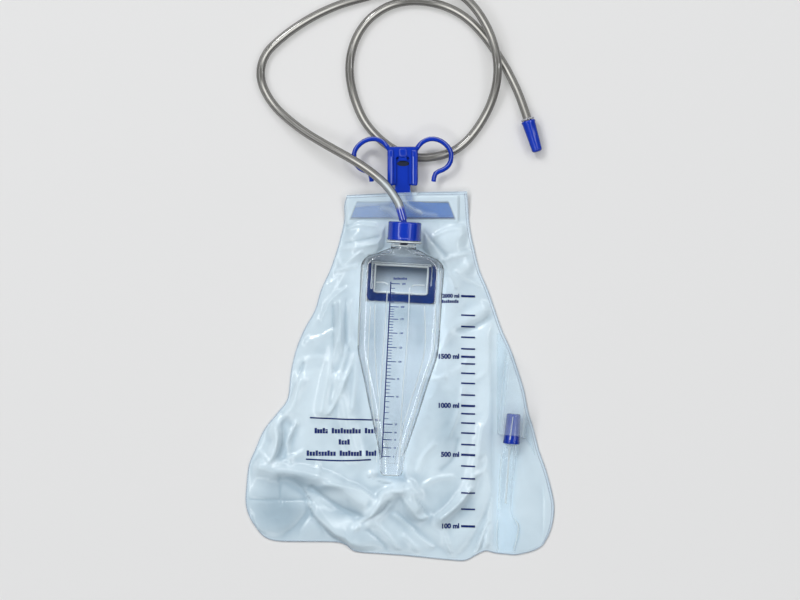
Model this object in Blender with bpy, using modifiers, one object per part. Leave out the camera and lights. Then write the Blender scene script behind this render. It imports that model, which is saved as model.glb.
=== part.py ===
"""Urine drainage bag with a measuring chamber, lying on its back on a table.

The bag's top points along +Y, its printed front faces +Z, and the table is the plane z = 0.
"""

import functools
import math

import bmesh
import bpy
from mathutils import Matrix, Vector

MM = 0.001

# Main sizes of the bag. Its top, which holds the hanger, stays as it is drawn below.
BAG_WIDTH = 269.8 * MM
BAG_LENGTH = 322.8 * MM

# Gaps between neighbouring pieces
TOUCH = 0.3 * MM
RUNNING = 0.5 * MM
WELD = 0.002 * MM

# Films of the bag
FILM_WALL = 0.4 * MM
FILM_AIR = 2.0 * MM
FILM_RIM = 16.0 * MM
FRONT_COLUMNS = 30
FRONT_POINTS = 44
BACK_COLUMNS = 6
BACK_POINTS = 44
CROWDING = 0.35
PORT_CUT = 8.0 * MM
FOLD_INSET = 9.0 * MM
# The front film beside, above and under the chamber, and its flat part round the port
BESIDE_CHAMBER = 4.0 * MM
ABOVE_NECK = 12.0 * MM
RISE_BESIDE = 0.7
DROP_START = 1.0 * MM
DROP_RUN = 8.0 * MM
DROP_SPARE = 0.8 * MM
FLAT_BESIDE = 8.0 * MM
FLAT_ALONG = 11.0 * MM
FLAT_FADE = 26.0 * MM
# The front film over the hanger bar and its stem
COVER_FOOT = 9.0 * MM
COVER_FOOT_RUN = 5.0 * MM
COVER_HEAD = 8.4 * MM
COVER_HEAD_RUN = 4.0 * MM
COVER_SIDE = 4.6 * MM
COVER_SIDE_RUN = 2.2 * MM
COVER_STEM = 10.0 * MM
COVER_STEM_RUN = 5.0 * MM

# Outline of the bag, in millimetres, each side from one corner to the next
TOP_EDGE = [(-46.4, 133.9), (-12.2, 135.6), (13.1, 136.5), (58.6, 137.4)]
LEFT_EDGE = [
    (-125.1, -157.9), (-131.5, -147.4), (-134.9, -135.2), (-134.2, -119.4), (-132.1, -101.9),
    (-126.9, -88.8), (-119.0, -71.3), (-106.8, -55.6), (-99.8, -46.8), (-97.1, -38.1),
    (-95.4, -20.6), (-91.0, -1.3), (-84.0, 16.2), (-74.4, 33.7), (-69.1, 51.2), (-61.2, 68.7),
    (-55.1, 86.2), (-50.8, 101.9), (-48.5, 114.2), (-48.7, 124.7), (-46.4, 133.9),
]
RIGHT_EDGE = [
    (125.1, -171.9), (130.4, -162.3), (133.6, -151.8), (134.9, -137.8), (132.5, -123.8),
    (127.8, -106.3), (121.6, -88.8), (117.2, -71.3), (112.0, -53.8), (108.5, -36.3),
    (103.2, -18.8), (97.1, -1.3), (89.2, 16.2), (83.1, 33.7), (77.0, 51.2), (69.6, 68.7),
    (65.2, 86.2), (61.2, 105.4), (59.5, 126.4), (58.6, 137.4),
]
BOTTOM_EDGE = [
    (-125.1, -157.9), (-118.1, -164.9), (-106.8, -168.4), (-83.1, -168.9), (-56.9, -169.3),
    (-47.2, -171.9), (-38.5, -177.6), (-13.1, -179.8), (4.4, -181.1), (26.2, -183.3),
    (45.5, -185.1), (56.9, -185.4), (65.6, -181.1), (74.4, -177.2), (83.1, -178.9),
    (91.9, -179.8), (100.6, -180.5), (109.4, -178.9), (118.1, -176.3), (125.1, -171.9),
]
DRAWN_WIDTH = (max(x for x, _ in RIGHT_EDGE) - min(x for x, _ in LEFT_EDGE)) * MM
DRAWN_LENGTH = (max(y for _, y in TOP_EDGE) - min(y for _, y in BOTTOM_EDGE)) * MM
# A change of the bag's width or length starts under its top and is full at its lobes
SPREAD_START = 90.0 * MM
SPREAD_RUN = 215.0 * MM

# Folds of the front film: height, width to the left and to the right of its line, and the line
FOLDS = {
    "lower_left_ridge": (5.5, 7, 8, [(-121.6, -102.8), (-104.1, -107.2), (-81.4, -109.8),
                                     (-63.0, -115.1), (-47.2, -123.8), (-33.2, -133.4)]),
    "lower_left_valley": (-2.5, 8, 8, [(-98.9, -112.8), (-68.2, -135.2), (-40.2, -147.4)]),
    "under_tip_ridge": (5.0, 7, 7, [(-26.2, -147.4), (-7.9, -128.2), (6.1, -122.9), (14.9, -138.7)]),
    "lobe_step": (3.2, 3, 16, [(-38.5, -176.3), (-54.2, -161.9), (-73.9, -136.9)]),
    "centre_valley": (-2.5, 7, 7, [(-6.1, -143.9), (21.0, -165.4), (38.5, -181.6)]),
    "tip_ridge": (2.0, 5, 5, [(-25.7, -112.8), (2.6, -118.8), (13.6, -126.1)]),
    "long_diagonal": (3.6, 6, 6, [(35.9, -150.1), (56.9, -125.6), (66.0, -97.6), (72.1, -70.4)]),
    "right_valley": (-2.5, 6, 6, [(76.1, -150.9), (65.6, -167.6), (56.4, -183.3)]),
    "left_curl": (3.6, 6, 6, [(-118.1, -62.6), (-107.6, -78.3), (-111.1, -90.6)]),
    "left_pocket": (-2.2, 6, 6, [(-103.2, -58.2), (-91.9, -71.3), (-102.4, -93.2)]),
    "left_turned_edge": (4.2, 6, 6, [(-87.5, -27.6), (-98.6, -53.8), (-110.0, -61.9)]),
    "outer_pleat": (4.4, 6, 6, [(-46.0, 42.4), (-54.5, 7.4), (-63.2, -27.6), (-68.2, -53.8)]),
    "inner_pleat": (4.0, 6, 6, [(-52.1, -27.6), (-46.0, -62.6), (-38.0, -93.2)]),
    "neck_fold_left": (2.4, 6, 6, [(-45.5, 94.9), (-28.0, 97.6), (-18.0, 89.7)]),
    "neck_fold_right": (2.8, 6, 6, [(26.5, 86.2), (42.0, 94.9), (57.8, 101.9)]),
    "shoulder_fold": (2.8, 6, 6, [(43.4, 51.2), (50.8, 66.9), (66.5, 75.7)]),
    "side_fold": (2.6, 6, 6, [(43.4, 16.2), (61.2, 26.7), (80.5, 37.2)]),
}

# Measuring chamber, in its own frame: y runs up its axis from the port, z = 0 is its flat back
CHAMBER_AT = (1.6 * MM, 60.1 * MM, 7.0 * MM)
CHAMBER_LEAN = math.radians(1.3)
CHAMBER_TURN = math.radians(-3.15)
CHAMBER_WALL = 1.2 * MM
CHAMBER_DEPTH = 26.0 * MM
CORNER_POINTS = 8
# Height on the axis, half width, half depth and height of the middle above the back
CHAMBER_STATIONS = [
    (-171.0, 9.6, 7.0, 7.0), (-150.9, 11.6, 7.8, 7.8), (-133.3, 16.5, 8.7, 8.7),
    (-115.0, 21.6, 9.7, 9.7), (-93.0, 27.0, 11.0, 11.0), (-67.0, 34.2, 12.7, 12.7),
    (-60.0, 35.3, 13.0, 13.0), (-44.0, 35.7, 13.0, 13.0), (-10.7, 36.0, 13.0, 13.0),
    (11.0, 36.3, 13.0, 13.0), (15.5, 34.6, 13.0, 13.0), (18.4, 31.2, 12.8, 13.0),
    (23.5, 19.5, 12.0, 13.0),
]
BODY_CORNER = 9.0 * MM
COLUMN_HALF = 8.0 * MM
COLUMN_RISE = 1.0 * MM
COLUMN_SLOPE = 0.8 * MM
PANEL_HALF = 25.0 * MM
PANEL_FOOT = -3.7 * MM
PANEL_STEP = 1.2 * MM
PANEL_TOP = 13.5 * MM
COLUMN_FOOT = -160.0 * MM
COLUMN_RAMP = 0.6 * MM
STATION_STEP = 0.01 * MM
ROUND_SHOULDER = 20.2 * MM
SPOUT_PAST_FRAME = 0.6 * MM

# Neck of the chamber, along the same axis, centred at half the chamber's depth
NECK_RADIUS = 11.0 * MM
NECK_START = 27.5 * MM
COLLAR_RADIUS = 15.2 * MM
COLLAR_START = 32.0 * MM
COLLAR_T = 2.2 * MM
FINISH_RADIUS = 12.2 * MM
FINISH_TOP = 45.6 * MM
NECK_BORE = 9.8 * MM

# Port in the chamber's back, which opens into the bag through a hole in the front film
PORT_WIDTH = 46.0 * MM
PORT_HEIGHT = 24.6 * MM
PORT_WALL = 1.2 * MM
PORT_CORNER = 2.5 * MM
FRAME_BAND = 7.2 * MM
FRAME_T = 4.0 * MM
FRAME_CORNER = 5.0 * MM
FRAME_ROUND = 0.8 * MM

# Screw cap, its seal and the inlet connector that it holds
CAP_RADIUS = 14.5 * MM
CAP_BEAD = 14.8 * MM
CAP_TOP_T = 1.8 * MM
CAP_HOLE = 4.6 * MM
CAP_CHAMFER = 0.8 * MM
SEAL_T = 1.0 * MM
SEAL_BORE = 8.6 * MM
FLANGE_T = 1.3 * MM
TURNED_STEPS = 40

# Inlet connector: a nozzle down into the neck and a spigot that leans to the bag's left
SPIGOT_RADIUS = 2.6 * MM
SPIGOT_LENGTH = 14.0 * MM
SPIGOT_LEAN = math.radians(19)
SPIGOT_BORE = 1.6 * MM
SPIGOT_ROOT = 0.8 * MM
SPIGOT_TIP_CUT = 0.5 * MM
SPIGOT_TIP_RUN = 1.5 * MM
NOZZLE_LENGTH = 9.0 * MM
NOZZLE_RADIUS = 2.9 * MM
VALVE_WALL = 0.8 * MM
VALVE_LENGTH = 13.0 * MM
VALVE_LIP_T = 1.0 * MM
VALVE_LIP_DEPTH = 1.2 * MM
VALVE_GRIP = 5.0 * MM
VALVE_POINTS = 20
CAP_BEAD_LOW = 1.4 * MM
CAP_BEAD_HIGH = 2.0 * MM

# Hanger: a bar welded into the bag's top, and a yoke with two hooks on the bar's stem
HANGER_X = 2.3 * MM
HANGER_Y = 120.75 * MM
HANGER_LEAN = math.radians(10)
BAR_FLOOR = 0.9 * MM
BAR_T = 2.0 * MM
BAR_HEIGHT = 14.0 * MM
BAR_FOOT_HALF = 46.0 * MM
BAR_TOP_HALF = 40.4 * MM
BAR_RIB_T = 0.8 * MM
BAR_RIB_HEIGHT = 2.0 * MM
STEM_WIDTH = 13.0 * MM
STEM_TOP = 46.0 * MM
STEM_FLARE = 15.0 * MM
STEM_EYE = (7.0 * MM, 3.6 * MM)
STEM_EYE_AT = 43.6 * MM
STEM_EYE_ROUND = 1.7 * MM
YOKE_BACK_T = 1.6 * MM
YOKE_HALF = 13.4 * MM
YOKE_FOOT = 22.4 * MM
YOKE_TOP = 56.4 * MM
YOKE_T = 6.2 * MM
YOKE_ROUND = 2.4 * MM
YOKE_LIP = 0.7 * MM
YOKE_WINDOW_TOP = 48.2 * MM
TONGUE_WIDTH = 7.0 * MM
TONGUE_FOOT = 44.6 * MM
TONGUE_T = 1.6 * MM
HOOK_WIRE = 4.2 * MM
HOOK_POINTS = 22
# One hook's centre line from the housing's corner to its tip, in millimetres
HOOK_LINE = [
    (10.5, 52.0), (15.6, 58.9), (20.6, 62.1), (25.7, 63.2), (32.3, 61.8), (38.0, 57.8), (41.4, 53.2),
    (42.4, 48.7), (41.5, 42.4), (38.1, 37.8), (33.7, 35.3), (29.5, 33.6), (27.6, 30.1), (27.0, 25.8),
]

# Inlet tube: a free hose that lies on the table, under the yoke and over the left hook
TUBE_OD = 7.6 * MM
TUBE_START = 3.9 * MM
TUBE_GRIP = 11.0 * MM
TUBE_POINTS = 78
# Its centre line after the spigot, in millimetres
TUBE_LINE = [
    (-2.0, 127.8, 21.3), (-10.4, 140.2, 20.6), (-20.6, 150.0, 19.8), (-30.9, 157.8, 19.0),
    (-43.3, 165.6, 18.2), (-62.2, 176.3, 15.0), (-80.6, 187.4, 10.6), (-95.4, 198.4, 6.8),
    (-107.3, 209.4, 4.6), (-115.9, 221.1, 3.9), (-120.9, 233.1, 3.9), (-121.6, 244.1, 3.9),
    (-118.6, 254.3, 3.9), (-111.9, 263.7, 3.9), (-95.4, 277.6, 3.9), (-75.1, 290.4, 3.9),
    (-52.9, 300.4, 3.9), (-29.0, 307.4, 3.9), (-4.0, 314.0, 4.0), (18.0, 318.6, 4.6),
    (38.0, 316.4, 6.2), (54.6, 307.6, 8.6), (65.6, 296.6, 10.6), (74.5, 282.8, 11.8),
    (80.8, 268.1, 12.1), (84.6, 251.6, 12.1), (84.6, 234.9, 11.0), (80.8, 218.3, 7.6),
    (74.3, 203.6, 4.8), (65.3, 189.6, 3.9), (55.9, 179.2, 3.9), (45.4, 172.1, 3.9),
    (33.2, 168.2, 3.9), (19.8, 166.8, 3.9), (6.3, 168.9, 3.9), (-7.2, 175.2, 3.9),
    (-19.8, 185.2, 3.9), (-30.9, 198.5, 3.9), (-38.4, 214.6, 3.9), (-42.9, 231.3, 3.9),
    (-44.1, 246.4, 3.9), (-41.9, 261.2, 3.9), (-36.2, 275.4, 3.9), (-26.4, 288.2, 3.9),
    (-12.4, 298.0, 3.9), (3.4, 303.0, 3.9), (19.2, 303.4, 3.9), (35.4, 300.3, 3.9),
    (50.2, 293.9, 3.9), (63.1, 284.4, 3.9), (74.5, 271.9, 3.9), (84.4, 258.1, 3.9),
    (92.0, 246.1, 3.9), (97.9, 234.9, 4.2), (102.6, 224.8, 4.8), (106.3, 215.2, 5.5),
    (109.4, 206.4, 6.1),
]

# Catheter connector at the tube's far end, and the cap that closes it
TAIL_AT = (111.1 * MM, 201.2 * MM, 6.4 * MM)
TAIL_TURN = math.radians(-163)
BARB_RADIUS = 2.6 * MM
TAIL_COLLAR_RADIUS = 5.0 * MM
TAIL_COLLAR_T = 1.7 * MM
NOSE_ROOT = 3.9 * MM
NOSE_TIP = 2.7 * MM
NOSE_LENGTH = 23.0 * MM
NOSE_BORE = 1.5 * MM
TAIL_CAP_LENGTH = 28.5 * MM
TAIL_CAP_MOUTH = 6.2 * MM
TAIL_CAP_TIP = 4.8 * MM
TAIL_CAP_END = 3.2 * MM

# Drain: a soft sleeve out of the bag's bottom, closed by a plug that is parked in a pocket
PLUG_AT = (97.1 * MM, -83.0 * MM, 9.2 * MM)
PLUG_TURN = math.radians(-4.8)
PLUG_LENGTH = 26.3 * MM
PLUG_MOUTH = 7.4 * MM
PLUG_TOP = 6.15 * MM
PLUG_BORE = 5.9 * MM
PLUG_DEPTH = 18.0 * MM
PLUG_GRIP = 14.0 * MM
PLUG_TRAVEL = 16.0 * MM
SLEEVE_WALL = 0.5 * MM
SLEEVE_POINTS = 20
# Middle of each section of the sleeve, its half width and its half thickness, in millimetres
SLEEVE_STATIONS = [
    (92.6, -178.3, 2.8, 8.2, 0.9), (92.6, -173.0, 2.9, 8.4, 1.0), (93.2, -167.0, 3.0, 9.2, 1.05),
    (94.2, -160.0, 3.1, 10.2, 1.1), (94.4, -154.5, 3.2, 10.2, 1.2), (93.2, -150.5, 3.6, 8.6, 1.5),
    (91.6, -146.0, 4.3, 6.3, 2.2), (91.6, -135.0, 4.6, 6.2, 2.5), (92.8, -115.0, 4.9, 6.4, 2.8),
    (94.2, -98.0, 5.8, 6.5, 3.3), (95.6, -91.0, 7.4, 6.3, 4.3), (96.6, -86.5, 8.7, 5.8, 5.2),
]
POCKET_COLUMNS = 12
POCKET_POINTS = 14
POCKET_TENT_IN = 7.8 * MM
POCKET_TENT_OUT = 12.2 * MM
POCKET_HEAD = 5.0 * MM
POCKET_TAPER = 42.0 * MM
POCKET_BOTTOM = [(84.9, -74.8), (98.0, -75.6), (107.5, -77.6), (113.8, -84.6), (118.1, -94.1)]
POCKET_TOP = [(84.9, 13.0), (88.0, 13.0)]
POCKET_LEFT = [(84.9, -74.8), (84.9, -30.0), (84.9, 13.0)]
POCKET_RIGHT = [
    (118.1, -94.1), (114.2, -71.3), (109.0, -53.8), (105.3, -36.3), (100.0, -18.8),
    (94.0, -1.3), (88.0, 13.0),
]
POCKET_FLOOR = 1.3 * MM
POCKET_FLOOR_LEFT = 81.0 * MM
POCKET_FLOOR_RIGHT = 125.0 * MM
POCKET_FLOOR_RISE = 0.5
POCKET_CLEAR = 12.0 * MM


def clear_scene():
    for item in list(bpy.data.objects):
        bpy.data.objects.remove(item, do_unlink=True)


def collection(name):
    made = bpy.data.collections.new(name)
    bpy.context.scene.collection.children.link(made)
    return made


def material(name, colour, roughness, alpha=1.0, transmission=0.0):
    made = bpy.data.materials.new(name)
    made.use_nodes = True
    shader = made.node_tree.nodes["Principled BSDF"]
    shader.inputs["Base Color"].default_value = (*colour, 1.0)
    shader.inputs["Roughness"].default_value = roughness
    shader.inputs["Metallic"].default_value = 0.0
    shader.inputs["Alpha"].default_value = alpha
    shader.inputs["Transmission Weight"].default_value = transmission
    made.diffuse_color = (*colour, alpha)
    return made


def add(name, data, where, finish=None, parent=None, matrix=None):
    """Links a new object. Its matrix is in its parent's frame."""
    item = bpy.data.objects.new(name, data)
    where.objects.link(item)
    if finish is not None:
        data.materials.append(finish)
    item.parent = parent
    if matrix is not None:
        item.matrix_basis = matrix
    return item


def helper(item):
    item.hide_render = True
    item.display_type = "WIRE"
    return item


def frame_at(name, place, matrix, parent=None):
    """An empty that carries the pieces of one frame."""
    empty = add(name, None, bpy.context.scene.collection, parent=parent)
    empty.matrix_basis = Matrix.Translation(place) @ matrix
    return empty


def mesh_of(name, shape, smooth_angle=None):
    """Turns a bmesh into mesh data with its faces pointing out."""
    bmesh.ops.recalc_face_normals(shape, faces=shape.faces)
    data = bpy.data.meshes.new(name)
    shape.to_mesh(data)
    shape.free()
    if smooth_angle is not None:
        data.shade_smooth()
        data.set_sharp_from_angle(angle=smooth_angle)
    return data


def loft(name, rings, smooth_angle=math.radians(35)):
    """A closed skin over rings of equally many points, with a face across each end."""
    shape = bmesh.new()
    rows = [[shape.verts.new(point) for point in ring] for ring in rings]
    count = len(rows[0])
    for lower, upper in zip(rows, rows[1:]):
        for i in range(count):
            j = (i + 1) % count
            shape.faces.new((lower[i], lower[j], upper[j], upper[i]))
    shape.faces.new(rows[0][::-1])
    shape.faces.new(rows[-1])
    bmesh.ops.remove_doubles(shape, verts=shape.verts, dist=WELD)
    return mesh_of(name, shape, smooth_angle)


def turned(name, profile, where, finish, parent, steps=TURNED_STEPS, closed=False):
    """A body of revolution about its own z axis. The profile runs down its outer side first."""
    data = bpy.data.meshes.new(name)
    corners = [(radius, 0.0, height) for radius, height in profile]
    edges = [(i, i + 1) for i in range(len(corners) - 1)]
    if closed:
        edges.append((len(corners) - 1, 0))
    data.from_pydata(corners, edges, [])
    item = add(name, data, where, finish, parent)
    spin = item.modifiers.new("Screw", "SCREW")
    spin.steps = steps
    spin.render_steps = steps
    spin.use_merge_vertices = not closed
    spin.merge_threshold = 0.00001
    spin.use_smooth_shade = True
    return item


def block(name, size, place, where, finish=None, parent=None, edge=0.0, segments=3):
    """A box with its size applied, and its upright edges rounded by a bevel."""
    shape = bmesh.new()
    bmesh.ops.create_cube(shape, size=1.0)
    bmesh.ops.scale(shape, vec=size, verts=shape.verts)
    if edge > 0:
        upright = [e for e in shape.edges if abs(e.verts[0].co.z - e.verts[1].co.z) > size[2] / 2]
        bmesh.ops.bevel(shape, geom=upright, offset=edge, segments=segments, profile=0.5,
                        affect="EDGES")
    item = add(name, mesh_of(name, shape), where, finish, parent)
    item.location = place
    return item


def boolean(item, other, operation):
    cut = item.modifiers.new(operation.title(), "BOOLEAN")
    cut.operation = operation
    cut.solver = "EXACT"
    cut.object = helper(other)


def smooth_line(points, count):
    """Evenly spaced points on a smooth curve through the given ones."""
    spots = [Vector(p) for p in points]
    spots = [2 * spots[0] - spots[1], *spots, 2 * spots[-1] - spots[-2]]
    fine = []
    per_span = 12
    for a, b, c, d in zip(spots, spots[1:], spots[2:], spots[3:]):
        for i in range(per_span):
            t = i / per_span
            fine.append(0.5 * (2 * b + (c - a) * t + (2 * a - 5 * b + 4 * c - d) * t * t
                               + (3 * b - a - 3 * c + d) * t ** 3))
    fine.append(spots[-2])
    reached = [0.0]
    for a, b in zip(fine, fine[1:]):
        reached.append(reached[-1] + (b - a).length)
    even, k = [], 0
    for i in range(count):
        target = reached[-1] * i / (count - 1)
        while k < len(reached) - 2 and reached[k + 1] < target:
            k += 1
        share = (target - reached[k]) / max(reached[k + 1] - reached[k], 1e-9)
        even.append(fine[k].lerp(fine[k + 1], min(max(share, 0.0), 1.0)))
    return even


def in_metres(points):
    return [tuple(value * MM for value in point) for point in points]


def tube(name, points, radius, where, finish, parent=None, resolution=3):
    """A curve with a round section and filled ends."""
    data = bpy.data.curves.new(name, "CURVE")
    data.dimensions = "3D"
    data.bevel_depth = radius
    data.bevel_resolution = resolution
    data.use_fill_caps = True
    line = data.splines.new("POLY")
    line.points.add(len(points) - 1)
    for spot, place in zip(line.points, points):
        spot.co = (*place, 1.0)
    return add(name, data, where, finish, parent)


def as_mesh(item, where, finish=None):
    """Replaces a curve object by the mesh that it makes, with its caps welded."""
    bpy.context.view_layer.update()
    graph = bpy.context.evaluated_depsgraph_get()
    data = bpy.data.meshes.new_from_object(item.evaluated_get(graph))
    shape = bmesh.new()
    shape.from_mesh(data)
    bmesh.ops.remove_doubles(shape, verts=shape.verts, dist=WELD)
    name, parent, basis = item.name, item.parent, item.matrix_basis.copy()
    bpy.data.objects.remove(item, do_unlink=True)
    made = mesh_of(name, shape, math.radians(40))
    made.materials.clear()
    return add(name, made, where, finish, parent, basis)


def ease(value):
    """A smooth step from 0 to 1."""
    value = min(max(value, 0.0), 1.0)
    return value * value * (3 - 2 * value)


def table_of(points, x):
    """Straight-line reading of a list of (x, value) pairs, held at both ends."""
    if x <= points[0][0]:
        return points[0][1]
    for (x0, v0), (x1, v1) in zip(points, points[1:]):
        if x <= x1:
            return v0 + (v1 - v0) * (x - x0) / (x1 - x0)
    return points[-1][1]


def from_line(x, y, line):
    """Distance of a place from a line, and whether it lies to the line's left."""
    best, left = math.inf, False
    for (ax, ay), (bx, by) in zip(line, line[1:]):
        dx, dy = bx - ax, by - ay
        t = ((x - ax) * dx + (y - ay) * dy) / (dx * dx + dy * dy)
        t = min(max(t, 0.0), 1.0)
        away = math.hypot(x - ax - t * dx, y - ay - t * dy)
        if away < best:
            best, left = away, dx * (y - ay) - dy * (x - ax) > 0
    return best, left


def on_bag(x, y):
    """A drawn place moved with the bag's set width and length."""
    low = ease((SPREAD_START - y) / SPREAD_RUN)
    wider = 1 + (BAG_WIDTH / DRAWN_WIDTH - 1) * low
    return x * wider, y - (BAG_LENGTH - DRAWN_LENGTH) * low


class Edge:
    """One side of a film patch as a smooth curve, read by its share of the length."""

    def __init__(self, points):
        self.line = smooth_line([(*on_bag(*p), 0.0) for p in in_metres(points)], 160)

    def at(self, share):
        place = min(max(share, 0.0), 1.0) * (len(self.line) - 1)
        k = min(int(place), len(self.line) - 2)
        return self.line[k].lerp(self.line[k + 1], place - k)


class Patch:
    """A surface between four sides, all read from left to right or from bottom to top."""

    def __init__(self, bottom, top, left, right):
        self.bottom, self.top, self.left, self.right = map(Edge, (bottom, top, left, right))

    def at(self, u, v):
        low, high = self.bottom.at(u), self.top.at(u)
        near, far = self.left.at(v), self.right.at(v)
        corners = (self.bottom.at(0) * (1 - u) * (1 - v) + self.bottom.at(1) * u * (1 - v)
                   + self.top.at(0) * (1 - u) * v + self.top.at(1) * u * v)
        return low * (1 - v) + high * v + near * (1 - u) + far * u - corners

    def inset(self, u, v):
        """About how far a place lies from the patch's edge."""
        across = (self.right.at(v) - self.left.at(v)).length
        along = (self.top.at(u) - self.bottom.at(u)).length
        return min(u * across, (1 - u) * across, v * along, (1 - v) * along)


def film(name, patch, columns, rows, height, where, finish, crowding=0.0):
    """A thin sheet over a patch, its middle surface at the given height."""
    shape = bmesh.new()
    grid = []
    for j in range(rows + 1):
        t = j / rows
        v = t - crowding * math.sin(2 * math.pi * t) / (2 * math.pi)
        line = []
        for i in range(columns + 1):
            u = i / columns
            spot = patch.at(u, v)
            line.append(shape.verts.new((spot.x, spot.y, height(spot.x, spot.y, patch.inset(u, v)))))
        grid.append(line)
    for lower, upper in zip(grid, grid[1:]):
        for i in range(columns):
            shape.faces.new((lower[i], lower[i + 1], upper[i + 1], upper[i]))
    data = bpy.data.meshes.new(name)
    shape.to_mesh(data)
    shape.free()
    data.shade_smooth()
    item = add(name, data, where, finish)
    wall = item.modifiers.new("Solidify", "SOLIDIFY")
    wall.thickness = FILM_WALL
    wall.offset = 0.0
    return item


# Heights of the two films

def bar_floor(y):
    """Height of the hanger bar's underside above the table."""
    foot = HANGER_Y - BAR_HEIGHT / 2
    return BAR_FLOOR + math.tan(HANGER_LEAN) * (y - foot)


def back_height(x, y, inset=0.0):
    return max(FILM_WALL / 2, bar_floor(y) - TOUCH - FILM_WALL / 2)


def chamber_place(x, y):
    """A place on the table in the chamber's frame, seen from above."""
    dx, dy = x - CHAMBER_AT[0], y - CHAMBER_AT[1]
    c, s = math.cos(CHAMBER_TURN), math.sin(CHAMBER_TURN)
    return dx * c + dy * s, dy * c - dx * s


def under_chamber(x, y):
    """The highest that the front film may reach, so that the chamber lies on it."""
    across, along = chamber_place(x, y)
    back = CHAMBER_AT[2] + math.tan(CHAMBER_LEAN) * along
    halves = [(s[0] * MM, s[1] * MM) for s in CHAMBER_STATIONS]
    half = table_of([*halves, (NECK_START, CAP_BEAD)], along)
    past_frame = along - PORT_HEIGHT / 2 - FRAME_BAND - DROP_START
    drop = ease(past_frame / DROP_RUN) * (COLLAR_RADIUS - CHAMBER_DEPTH / 2 + DROP_SPARE)
    beyond = max(0.0, abs(across) - half - BESIDE_CHAMBER, halves[0][0] - along - BESIDE_CHAMBER,
                 along - FINISH_TOP - ABOVE_NECK)
    return back - drop - TOUCH - FILM_WALL / 2 + RISE_BESIDE * beyond


def over_frame(x, y):
    """Weight of the flat part of the front film round the port."""
    across, along = chamber_place(x, y)
    past = max(abs(across) - PORT_WIDTH / 2 - FRAME_BAND - FLAT_BESIDE,
               abs(along) - PORT_HEIGHT / 2 - FRAME_BAND - FLAT_ALONG)
    return ease(1 - past / FLAT_FADE)


def over_bar(x, y):
    """Weight of the front film's rise over the hanger bar and its stem."""
    side = abs(x - HANGER_X)
    foot, head = HANGER_Y - BAR_HEIGHT / 2, HANGER_Y + BAR_HEIGHT / 2
    along = ease((y - foot + COVER_FOOT) / COVER_FOOT_RUN) * ease((head + COVER_HEAD - y) / COVER_HEAD_RUN)
    bar = ease((BAR_FOOT_HALF + COVER_SIDE - side) / COVER_SIDE_RUN) * along
    stem = ease((STEM_WIDTH / 2 + COVER_STEM - side) / COVER_STEM_RUN)
    return max(bar, stem * ease((y - foot) / COVER_STEM_RUN))


@functools.cache
def placed_folds():
    """The folds with their lines in place on the bag."""
    return [(rise, left_width, right_width, [on_bag(*p) for p in in_metres(line)])
            for rise, left_width, right_width, line in FOLDS.values()]


def fold_height(x, y):
    total = 0.0
    for rise, left_width, right_width, line in placed_folds():
        away, left = from_line(x, y, line)
        width = (left_width if left else right_width) * MM
        total += rise * MM * math.exp(-((away / width) ** 2))
    return total


def front_height(x, y, inset):
    floor = back_height(x, y) + FILM_WALL + TOUCH
    soft = ease(inset / FILM_RIM)
    z = floor + FILM_AIR * soft + fold_height(x, y) * ease(inset / FOLD_INSET)
    flat = CHAMBER_AT[2] + math.tan(CHAMBER_LEAN) * chamber_place(x, y)[1] - TOUCH - FILM_WALL / 2
    weight = over_frame(x, y) * soft
    z = z * (1 - weight) + flat * weight
    z = min(z, under_chamber(x, y))
    if y < on_bag(0.0, POCKET_RIGHT[-1][1] * MM)[1] + POCKET_CLEAR:
        beside = max(0.0, on_bag(POCKET_FLOOR_LEFT, y)[0] - x, x - on_bag(POCKET_FLOOR_RIGHT, y)[0])
        z = min(z, POCKET_FLOOR + POCKET_FLOOR_RISE * beside)
    cover = bar_floor(y) + BAR_T + BAR_RIB_T + TOUCH + FILM_WALL / 2
    z = max(z, floor)
    return max(z, floor + (cover - floor) * over_bar(x, y))


def plug_place():
    return (*on_bag(*PLUG_AT[:2]), PLUG_AT[2])


def pocket_height(x, y, inset):
    """The pocket's film stands like a tent over the plug and over its way out of the sleeve."""
    plug_x, plug_y, plug_z = plug_place()
    away = abs((x - plug_x) * math.cos(PLUG_TURN) + (y - plug_y) * math.sin(PLUG_TURN))
    side = 1 - ease((away - POCKET_TENT_IN) / (POCKET_TENT_OUT - POCKET_TENT_IN))
    head = plug_y + PLUG_LENGTH + PLUG_TRAVEL + POCKET_HEAD
    along = 1 - ease((y - head) / POCKET_TAPER)
    base = POCKET_FLOOR + FILM_WALL + TOUCH
    crown = plug_z + PLUG_MOUTH + TOUCH + FILM_WALL
    return base + (crown - base) * side * along


# Measuring chamber

def chamber_ring(along, half, depth, middle, shrink=0.0):
    """One section of the chamber: a rounded rectangle whose front carries the scale column."""
    half, depth = half - shrink, depth - shrink
    corner = min(max(BODY_CORNER - shrink, 0.0), half, depth)
    round_part = min(half, depth)
    if half < ROUND_SHOULDER and along > PANEL_TOP:
        corner = round_part
    raised = COLUMN_FOOT < along < PANEL_TOP
    rise = COLUMN_RISE if raised else 0.0
    column = PANEL_HALF if along > PANEL_FOOT else COLUMN_HALF
    flat_half = half - corner
    column = min(column, flat_half - COLUMN_SLOPE) if flat_half > COLUMN_SLOPE * 2 else flat_half / 2
    slope = min(COLUMN_SLOPE, (flat_half - column) / 2)
    ring = []
    for quarter, (sx, sz) in enumerate([(1, 1), (-1, 1), (-1, -1), (1, -1)]):
        for k in range(CORNER_POINTS):
            angle = math.pi / 2 * (quarter + k / (CORNER_POINTS - 1))
            ring.append((sx * (half - corner) + corner * math.cos(angle),
                         sz * (depth - corner) + corner * math.sin(angle)))
        if quarter == 0:
            for x, up in ((column + slope, 0), (column, 1), (-column, 1), (-column - slope, 0)):
                ring.append((x, depth + up * rise))
    return [(x, along, middle + z) for x, z in ring]


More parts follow.
